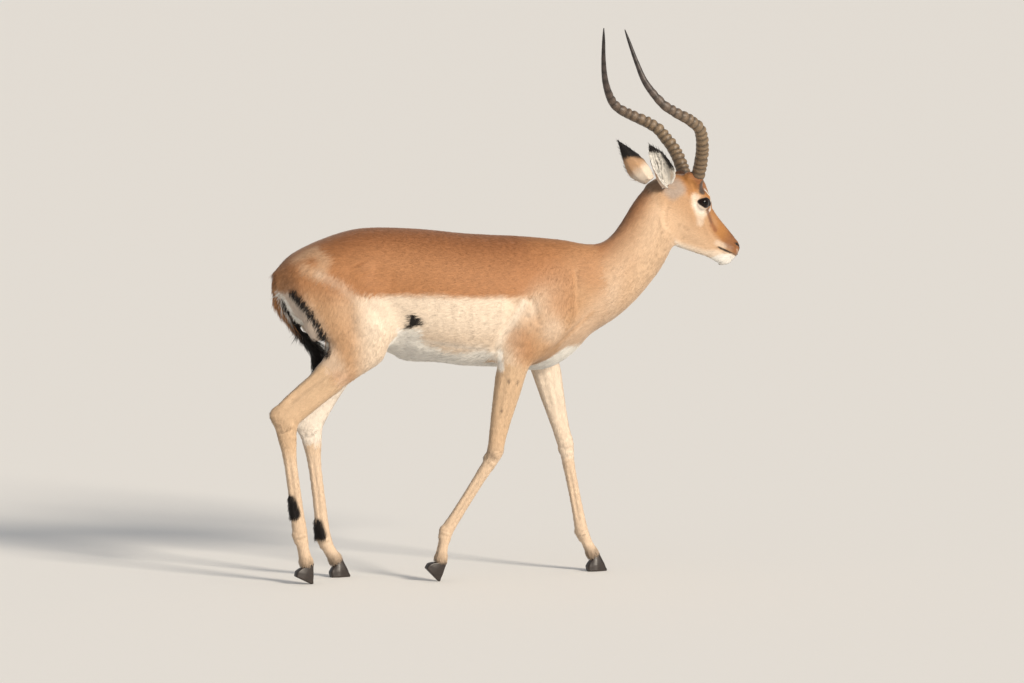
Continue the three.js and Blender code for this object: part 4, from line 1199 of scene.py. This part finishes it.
# painted shade darkens the hollows between the rings; their crests are lighter
ring_crest_and_hollow_shade = add_node(tree, "ShaderNodeMapRange", inputs={
    "Value": crest_at.outputs["Fac"], "From Min": 0.0, "From Max": 1.0, "To Min": 0.4, "To Max": 1.12})
spotted = add_node(tree, "ShaderNodeMapRange", inputs={
    "Value": fibres, "From Min": 0.3, "From Max": 0.7, "To Min": 0.65, "To Max": 1.3})
both = add_node(tree, "ShaderNodeMath", {"operation": "MULTIPLY"}, {
    0: ring_crest_and_hollow_shade.outputs[0], 1: spotted.outputs[0]})
shade = add_node(tree, "ShaderNodeHueSaturation", inputs={
    "Color": tones.outputs["Color"], "Value": both.outputs[0]})
bump = add_node(tree, "ShaderNodeBump", inputs={"Height": fibres, "Strength": 0.8, "Distance": 0.8 * MM})
surface = add_node(tree, "ShaderNodeBsdfPrincipled", inputs={
    "Base Color": shade.outputs[0], "Normal": bump.outputs[0], "Roughness": 0.48, "IOR": 1.54})
add_node(tree, "ShaderNodeOutputMaterial", inputs={"Surface": surface.outputs["BSDF"]})

ringed_horn = horn_tree()
for side_name, sign in (("left", 1), ("right", -1)):
    line, run = smooth_path(HORN_AXIS, HORN_STEPS)
    share = run / run[-1]
    line[:, 1] -= HORN_DROP[side_name] * np.sin(np.pi * share) ** 2
    line[:, 2] *= sign
    axis = from_head(line[:, :3])
    phase = np.cumsum(np.gradient(run) / np.interp(share, *RING_SPACING))
    mesh = bpy.data.meshes.new("horn_line_" + side_name)
    mesh.from_pydata([(0, 0, 0)] * HORN_STEPS, [(i, i + 1) for i in range(HORN_STEPS - 1)], [])
    place(mesh, axis)
    phase += 0.1 * np.sin(phase * 1.9 + sign)
    uneven = 1 + 0.22 * np.sin(phase.round() * 2.4 + 1.3 * sign)
    rise = np.interp(share, *RING_RISE) * uneven * MM
    forward = unit(np.gradient(axis, axis=0))
    front_of = from_head((0.75, 0.65, -0.1 * sign)) - HEAD_AT
    front_of = unit(front_of - forward * (forward @ front_of)[:, None])
    girth = line[:, 3] * MM - rise * 0.5
    for label, values in (("girth", girth), ("ring_turn", phase), ("ring_rise", rise), ("horn_share", share)):
        mesh.attributes.new(label, "FLOAT", "POINT").data.foreach_set("value", values)
    mesh.attributes.new("front", "FLOAT_VECTOR", "POINT").data.foreach_set("vector", front_of.ravel())
    horn_mesh = grown(ringed_horn, mesh, "horn_" + side_name + "_sweep", Material=horn_material)
    horn = piece_of(horn_mesh, "horn_" + side_name + "_sheath", horn_material)
    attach(horn, "root")
    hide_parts("horn_" + side_name)

# ---------------------------------------------------------------- hooves
# Two small pointed claws on each foot, of smooth dark horn with faint growth lines round them. Each grows
# from the foot's end, so it is drawn in at the top where the skin meets it, and comes to a point at the toe.
CLAW_GRID = 1.3
# hoof keratin is dense and nearly black, and the ground rubs it: a low broad shine over level growth lines
hoof_material, tree = new_material("hoof_keratin_dark")
at = add_node(tree, "ShaderNodeTexCoord").outputs["Object"]
squeezed = add_node(tree, "ShaderNodeMapping", {"vector_type": "TEXTURE"}, {0: at, "Scale": (6, 6, 1)})
growth = add_node(tree, "ShaderNodeTexNoise", inputs={
    "Vector": squeezed.outputs[0], "Scale": 1 / (3 * MM), "Detail": 4.0}).outputs["Fac"]
tone = add_node(tree, "ShaderNodeValToRGB", inputs={"Fac": growth})
for element, shade in zip(tone.color_ramp.elements, ("#120F0E", "#3B302A")):
    element.color = (*linear(shade), 1)
bump = add_node(tree, "ShaderNodeBump", inputs={"Height": growth, "Strength": 0.5, "Distance": 0.25 * MM})
surface = add_node(tree, "ShaderNodeBsdfPrincipled", inputs={
    "Base Color": tone.outputs[0], "Normal": bump.outputs[0], "Roughness": 0.38, "IOR": 1.54})
add_node(tree, "ShaderNodeOutputMaterial", inputs={"Surface": surface.outputs["BSDF"]})
TOE_DOWN = {"hind_right": 26, "hind_left": 0, "fore_right": 46, "fore_left": 0}  # degrees
HOOF_HIGH = 42.0
for limb in LIMBS:
    tilt = math.radians(TOE_DOWN[limb])
    hoof_up = np.array([math.sin(tilt), 0, math.cos(tilt)])
    hoof_front = np.array([math.cos(tilt), 0, -math.sin(tilt)])
    foot = np.array(limb_path(limb)[-1])
    claws = [limb + "_hoof_" + which for which in ("inner", "outer")]
    made = []
    for node in claws:
        mesh = fused([swollen_copy(node)], CLAW_GRID)
        points = points_of(mesh)
        floor = points[:, 2].min()
        points = eased(points, edges_of(mesh), 0.6, 22)
        # drawn in at the top, to the width of the foot, and towards the toe, to a point
        high = (points - foot) @ hoof_up
        fore = (points - foot) @ hoof_front
        top = ramp(high, high.min() + 0.35 * HOOF_HIGH, high.max())
        toe = ramp(fore, 4, fore.max() + 4)
        heel = ramp(-fore, -10, 24)
        slimmer = (1 - 0.26 * top) * (1 - 0.42 * toe) * (1 - 0.2 * heel)
        points[:, 1] = foot[1] + (points[:, 1] - foot[1]) * slimmer
        points -= hoof_front * (0.2 * top * (fore + 2) + 0.22 * top * np.minimum(fore, 0))[:, None]
        points -= hoof_up * (0.27 * heel * (high - high.min()))[:, None]
        points -= hoof_front * (0.22 * np.minimum(fore, 0))[:, None]
        points = eased(points, edges_of(mesh), 0.5, 10)
        points[:, 2] = np.maximum(points[:, 2], floor)
        place(mesh, points)
        made.append(mesh)
    hoof = piece_of(joined(made, limb + "_claws"), limb + "_claws", hoof_material)
    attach(hoof, "root")
    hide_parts(*claws)

# ---------------------------------------------------------------- coat
# The hair lies flat from the nose to the tail and down the legs. It is made as slim solid strands in tufts,
# each rooted in the skin, in its colour there. It is longer on the tail, in the ears, along the belly, round
# the hooves and on the glands.
corners = read(skin_mesh.polygons, "vertices", 3, np.int32)
a, b, c = (skin_points[corners[:, k]] for k in range(3))
face_at = (a + b + c) / 3
face_cross = np.cross(b - a, c - a)
face_area = np.linalg.norm(face_cross, axis=1) / 2
face_normal = unit(face_cross)
face_region = skin_regions[corners[:, 0]]
draws = np.random.default_rng(41)
CHART_FACES = 12_000
PATCH = 0.003  # side of a tuft's patch on the chart


def skin_unwrap():
    """A flat chart of the skin, spread on a thinned copy: the copy's search tree, its faces and the chart."""
    thinned = CHART_FACES / len(skin_mesh.polygons)
    chart_mesh = modified(skin_mesh, "DECIMATE", ratio=thinned, use_collapse_triangulate=True)
    host = mesh_object("chart", chart_mesh)
    bpy.context.view_layer.objects.active = host
    host.select_set(True)
    bpy.ops.object.mode_set(mode="EDIT")
    bpy.ops.mesh.select_all(action="SELECT")
    bpy.ops.uv.smart_project(angle_limit=math.radians(66), island_margin=0.002)
    bpy.ops.object.mode_set(mode="OBJECT")
    faces = read(chart_mesh.polygons, "vertices", 3, np.int32)
    spread = read(chart_mesh.uv_layers.active.data, "uv", 2)
    places = points_of(chart_mesh)
    bpy.data.objects.remove(host)
    return BVHTree.FromPolygons(places.tolist(), faces.tolist()), places[faces], spread.reshape(-1, 3, 2)


chart_tree, chart_corners, chart_spread = skin_unwrap()


def chart_place(points):
    """Where each root lies on the skin's flat chart."""
    face = np.array([chart_tree.find_nearest(p)[2] for p in points.tolist()])
    a, b, c = (chart_corners[face, k] for k in range(3))
    v0, v1, v2 = b - a, c - a, points - a
    d00, d01, d11 = (v0 * v0).sum(1), (v0 * v1).sum(1), (v1 * v1).sum(1)
    d20, d21 = (v2 * v0).sum(1), (v2 * v1).sum(1)
    scale = np.maximum(d00 * d11 - d01 * d01, 1e-9)
    v = np.clip((d11 * d20 - d01 * d21) / scale, 0, 1)
    w = np.clip((d00 * d21 - d01 * d20) / scale, 0, 1)
    over = np.maximum(v + w, 1)
    v, w = v / over, w / over
    weights = np.column_stack([1 - v - w, v, w])
    return (chart_spread[face] * weights[:, :, None]).sum(1)


def scattered(chosen, density):
    """Roots spread over chosen faces, so many to a square centimetre: places, normals, lies and regions."""
    faces = np.flatnonzero(chosen)
    weight = np.cumsum(face_area[faces] * density[faces] / 100)
    count = int(weight[-1])
    even = (np.arange(count) + draws.random(count)) / count * weight[-1]
    picked = faces[np.minimum(np.searchsorted(weight, even), len(faces) - 1)]
    r1, r2 = np.sqrt(draws.random(count)), draws.random(count)
    shares = np.column_stack([1 - r1, r1 * (1 - r2), r1 * r2])[:, :, None]
    places, normals, lies = ((v[corners[picked]] * shares).sum(1) for v in (skin_points, skin_normals, lie))
    return places, unit(normals), unit(lies), face_region[picked]


def strands(roots, up, run, length, width, lift, colours, uv,
            bent=False, fan=0.22, root_tint=0.88, variety=0.075):
    """One slim three-sided spike for each root, closed at its foot: 4 faces, or 10 with a bend half way."""
    count = len(roots)
    turn = draws.normal(0, fan, count)
    across = np.cross(up, run)
    ahead = unit(run * np.cos(turn)[:, None] + across * np.sin(turn)[:, None])
    across = np.cross(up, ahead)
    length = length * draws.uniform(0.75, 1.25, count)
    rise = lift * draws.uniform(0.5, 1.5, count)
    wide = (width * draws.uniform(0.8, 1.2, count))[:, None]
    foot = roots - up * 0.5
    top = up * wide * 0.55
    ring = [foot - across * wide / 2, foot + across * wide / 2, foot + top]
    tip = roots + ahead * (length * np.cos(rise))[:, None] + up * (length * np.sin(rise))[:, None]
    levels = [ring]
    tints = [root_tint]
    if bent:
        middle = roots + ahead * (length * 0.5)[:, None] + up * (length * 0.5 * np.sin(rise * 1.35))[:, None]
        half = across * wide * 0.42
        levels.append([middle - half, middle + half, middle + top * 0.9])
        tints.append(0.97)
    vertices = np.stack([v for level in levels for v in level] + [tip], axis=1)
    per = vertices.shape[1]
    faces = [(0, 2, 1)]
    for k in range(len(levels) - 1):
        for i in range(3):
            p, q = 3 * k + i, 3 * k + (i + 1) % 3
            faces += [(p, q, p + 3), (q, q + 3, p + 3)]
    last = per - 4
    faces += [(last + i, last + (i + 1) % 3, per - 1) for i in range(3)]
    shade = np.repeat(np.array(tints + [1.07]), [3] * len(levels) + [1])
    lightness = draws.normal(1.0, variety, count)
    tone = colours[:, None, :] * shade[None, :, None] * lightness[:, None, None]
    lean = np.stack([-across * 0.5, across * 0.5, up * 0.4] * len(levels) + [up * 0.2], axis=1)
    normals = up[:, None, :] + 0.4 * lean
    return dict(points=vertices, faces=np.array(faces), tone=tone, normals=normals, uv=uv)


def coat_piece(name, batches):
    """Joins batches of strands into one mesh, with their colours, normals and places on the skin's chart."""
    gathered = {}
    for key in ("points", "tone", "normals"):
        gathered[key] = np.concatenate([batch[key].reshape(-1, 3) for batch in batches])
    patch = np.array([(0.0, 0.0), (PATCH, 0.0), (0.0, PATCH)])
    faces, spread = [], []
    offset = 0
    for batch in batches:
        count, per = batch["points"].shape[:2]
        first = offset + np.arange(count) * per
        faces.append((first[:, None, None] + batch["faces"]).reshape(-1, 3))
        corner = batch["uv"][:, None, None, :] + patch
        spread.append(np.broadcast_to(corner, (count, len(batch["faces"]), 3, 2)).reshape(-1, 2))
        offset += count * per
    faces = np.concatenate(faces)
    mesh = bpy.data.meshes.new(name)
    mesh.vertices.add(len(gathered["points"]))
    mesh.loops.add(len(faces) * 3)
    mesh.polygons.add(len(faces))
    mesh.loops.foreach_set("vertex_index", faces.ravel().astype(np.int32))
    mesh.polygons.foreach_set("loop_start", np.arange(0, len(faces) * 3, 3, dtype=np.int32))
    mesh.polygons.foreach_set("use_smooth", np.ones(len(faces), bool))
    place(mesh, gathered["points"])
    mesh.uv_layers.new(name="OFBake").data.foreach_set("uv", np.concatenate(spread).ravel())
    set_colours(mesh, "hair_colour", np.clip(gathered["tone"], 0, 1))
    mesh.materials.append(soft_hair)
    mesh.validate()
    mesh.normals_split_custom_set_from_vertices(unit(gathered["normals"]))
    piece = mesh_object(name, mesh)
    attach(piece, "root")
    return piece


soft_hair = hair_material("short_hair_strands", patch_mm=16.0, lightness=(0.93, 1.07))
face_on = parts_of(face_region)
HAIR_LENGTH = dict(trunk=15, neck=14, thigh=13, shoulder=13, gaskin=10, forearm=9, cannon=7.5, pastern=6.5,
                   head=6.0, tail=14, ear=6)
HAIR_WIDTH = dict(trunk=1.25, neck=1.15, thigh=1.1, shoulder=1.1, gaskin=0.9, forearm=0.85, cannon=0.75,
                  pastern=0.7, head=0.55, tail=1.0, ear=0.6)
TUFTS_PER_CM2 = dict(trunk=4.6, neck=5.2, thigh=5.2, shoulder=5.2, gaskin=7.0, forearm=7.0, cannon=8.5,
                     pastern=9, head=15, tail=5, ear=8)
SHORT_LIFT = 0.075
density = by_region(face_region, **TUFTS_PER_CM2)
# no hair grows on the lids' edges or on the nose pad
beyond_lids = lid_place(in_head(face_at))[2] > 7.0
eye_gap = (beyond_lids & ~near_eyes(face_at, 24)) | ~near_eyes(face_at, 30)
face_along, face_above, _ = in_head(face_at).T
nose_gap = ~((face_along > 240) & (face_above > -14))


def short_coat(name, chosen, slot, **look):
    """Flat strands, three to a tuft."""
    roots, up, run, regions = scattered(chosen, density)
    length, width = by_region(regions, **HAIR_LENGTH), by_region(regions, **HAIR_WIDTH)
    shift = run * draws.normal(0, 3.0, len(roots))[:, None] * np.minimum(length / 12, 1)[:, None]
    tone = painted(roots + shift, up, regions)  # so the edge of a marking is jagged
    uv = chart_place(roots)
    across = np.cross(up, run)
    batches = []
    for _ in range(3):
        beside = draws.normal(0, 0.9, len(roots)) * width
        ahead = draws.normal(0, 1.6, len(roots)) * width
        at = roots + across * beside[:, None] + run * ahead[:, None]
        batches.append(strands(at, up, run, length, width, SHORT_LIFT, tone, uv, **look))
    return coat_piece(name, batches)


legs = face_on["cannon"] | face_on["pastern"]
behind = face_at[:, 0] < -100
high = face_at[:, 2] > 760
short_coat("coat_back", face_on["trunk"] & high, "rufous_coat")
short_coat("coat_sides", face_on["trunk"] & ~high, "fawn_coat")
short_coat("coat_neck", face_on["neck"], "rufous_coat")
short_coat("coat_shoulders", face_on["shoulder"], "fawn_coat")
short_coat("coat_thighs", face_on["thigh"], "fawn_coat")
short_coat("coat_hind_legs", (face_on["gaskin"] | legs) & behind, "leg_coat")
short_coat("coat_fore_legs", (face_on["forearm"] | legs) & ~behind, "leg_coat")
short_coat("coat_head", face_on["head"] & eye_gap & nose_gap, "rufous_coat", root_tint=0.95, variety=0.045)
short_coat("coat_ears", face_on["ear_left"] | face_on["ear_right"], "ear_fur")


# ---- longer hair, where it hangs or stands out from the body
def long_coat(name, parts):
    """Bent strands. Each part gives its faces, strands to a square cm, length, width, lift and pull."""
    batches = []
    for chosen, per_cm2, length, width, lift, pull in parts:
        roots, up, run, regions = scattered(chosen, np.full(len(face_area), float(per_cm2)))
        tone = painted(roots + run * draws.normal(0, 2.0, len(roots))[:, None], up, regions)
        run = run + np.array(pull, float)
        run = unit(run - up * (run * up).sum(1)[:, None])
        lengths = np.full(len(roots), float(length))
        uv = chart_place(roots)
        batches.append(strands(roots, up, run, lengths, width, lift, tone, uv, bent=True, fan=0.16))
    return coat_piece(name, batches)


tail_share = polyline_near(face_at, TAIL_PATH)[2]
on_tail = face_on["tail"]
underside = face_normal[:, 0] > 0
long_coat("long_hair_tail", [
    (on_tail & (tail_share <= 0.3), 8, 22, 1.4, 0.12, (0, 0, 0)),
    (on_tail & (tail_share > 0.3), 16, 38, 1.5, 0.22, (0, 0, -0.2)),
    (on_tail & (tail_share > 0.5) & underside, 20, 54, 1.8, 0.42, (0.3, 0, -0.5)),
])

STRIPE_HALF_WIDTH, BELLY_FRINGE_HALF_WIDTH, GLAND_REACH, CORONET_REACH = 8, 16, 15, 27
along, aside, height = face_at.T
flat = face_at[:, ::2]
faces_out = (np.abs(aside) > 36) & (aside * face_normal[:, 1] > -0.1)
stripe = (polyline_near(flat, BUTTOCK_STRIPE)[0] < STRIPE_HALF_WIDTH) & faces_out
from_belly_line = np.abs(height_over(along, height, BELLY_EDGE) + 10)
belly_line = face_on["trunk"] & (from_belly_line < BELLY_FRINGE_HALF_WIDTH) & (along > -120) & (along < 140)
opening = np.zeros(len(face_at), bool)
for name in EARS:
    opening |= face_on[name] & (face_normal @ direction_from_head(EAR_OPEN[name]) > 0.15)
hind_gland = np.zeros(len(face_at), bool)
for limb in GLANDS:
    hind_gland |= gland_far(face_at, limb) < GLAND_REACH
coronet = np.zeros(len(face_at), bool)
for limb in LIMBS:
    from_foot = np.linalg.norm(face_at - limb_path(limb)[-1], axis=1)
    coronet |= face_on["pastern"] & (from_foot < CORONET_REACH)
long_coat("long_hair_accents", [
    (opening, 6, 15, 0.9, 0.3, (0, 0, 0)),
    (hind_gland, 22, 15, 1.1, 0.35, (0, 0, -0.4)),
    (stripe, 9, 16, 1.2, 0.16, (-0.3, 0, -0.5)),
    (belly_line, 3.5, 20, 1.3, 0.16, (0, 0, -0.3)),
    (coronet, 24, 14, 1.0, 0.13, (0, 0, -0.35)),
])

# ---------------------------------------------------------------- floor, light and air
# A plain pale studio: one broad soft lamp like a low sun over the camera's right shoulder, and bright walls.
FLOOR_SIDE = 160.0
FLOOR, LAMP, AIR = "#F1EFEB", "#FFF3E2", "#F2F4F8"
LAMP_STRENGTH = 3.62
LAMP_SPREAD = math.radians(14)
LAMP_FROM = Vector((0.44, -0.80, 0.42))
AIR_STRENGTH = 0.45
half = FLOOR_SIDE / 2
floor_mesh = bpy.data.meshes.new("floor")
corners_at = [(-half, -half, 0), (half, -half, 0), (half, half, 0), (-half, half, 0)]
floor_mesh.from_pydata(corners_at, [], [(0, 1, 2, 3)])
# painted boards with no shine, so the floor takes the ram's shadow and nothing else
floor_material, tree = new_material("matt_studio_floor")
surface = add_node(tree, "ShaderNodeBsdfPrincipled", inputs={
    "Base Color": (*linear(FLOOR), 1), "Roughness": 0.9})
add_node(tree, "ShaderNodeOutputMaterial", inputs={"Surface": surface.outputs["BSDF"]})
floor_mesh.materials.append(floor_material)
mesh_object("floor", floor_mesh)

lamp_data = bpy.data.lights.new("sun_lamp", "SUN")
lamp_data.energy, lamp_data.angle, lamp_data.color = LAMP_STRENGTH, LAMP_SPREAD, linear(LAMP)
lamp = bpy.data.objects.new("sun_lamp", lamp_data)
bpy.context.scene.collection.objects.link(lamp)
lamp.rotation_euler = LAMP_FROM.to_track_quat("Z", "Y").to_euler()
air = bpy.data.worlds.new("studio_air")
air.use_nodes = True
glow = air.node_tree.nodes["Background"].inputs
glow["Color"].default_value, glow["Strength"].default_value = (*linear(AIR), 1), AIR_STRENGTH
bpy.context.scene.world = air
bpy.context.scene.view_settings.view_transform = "Standard"
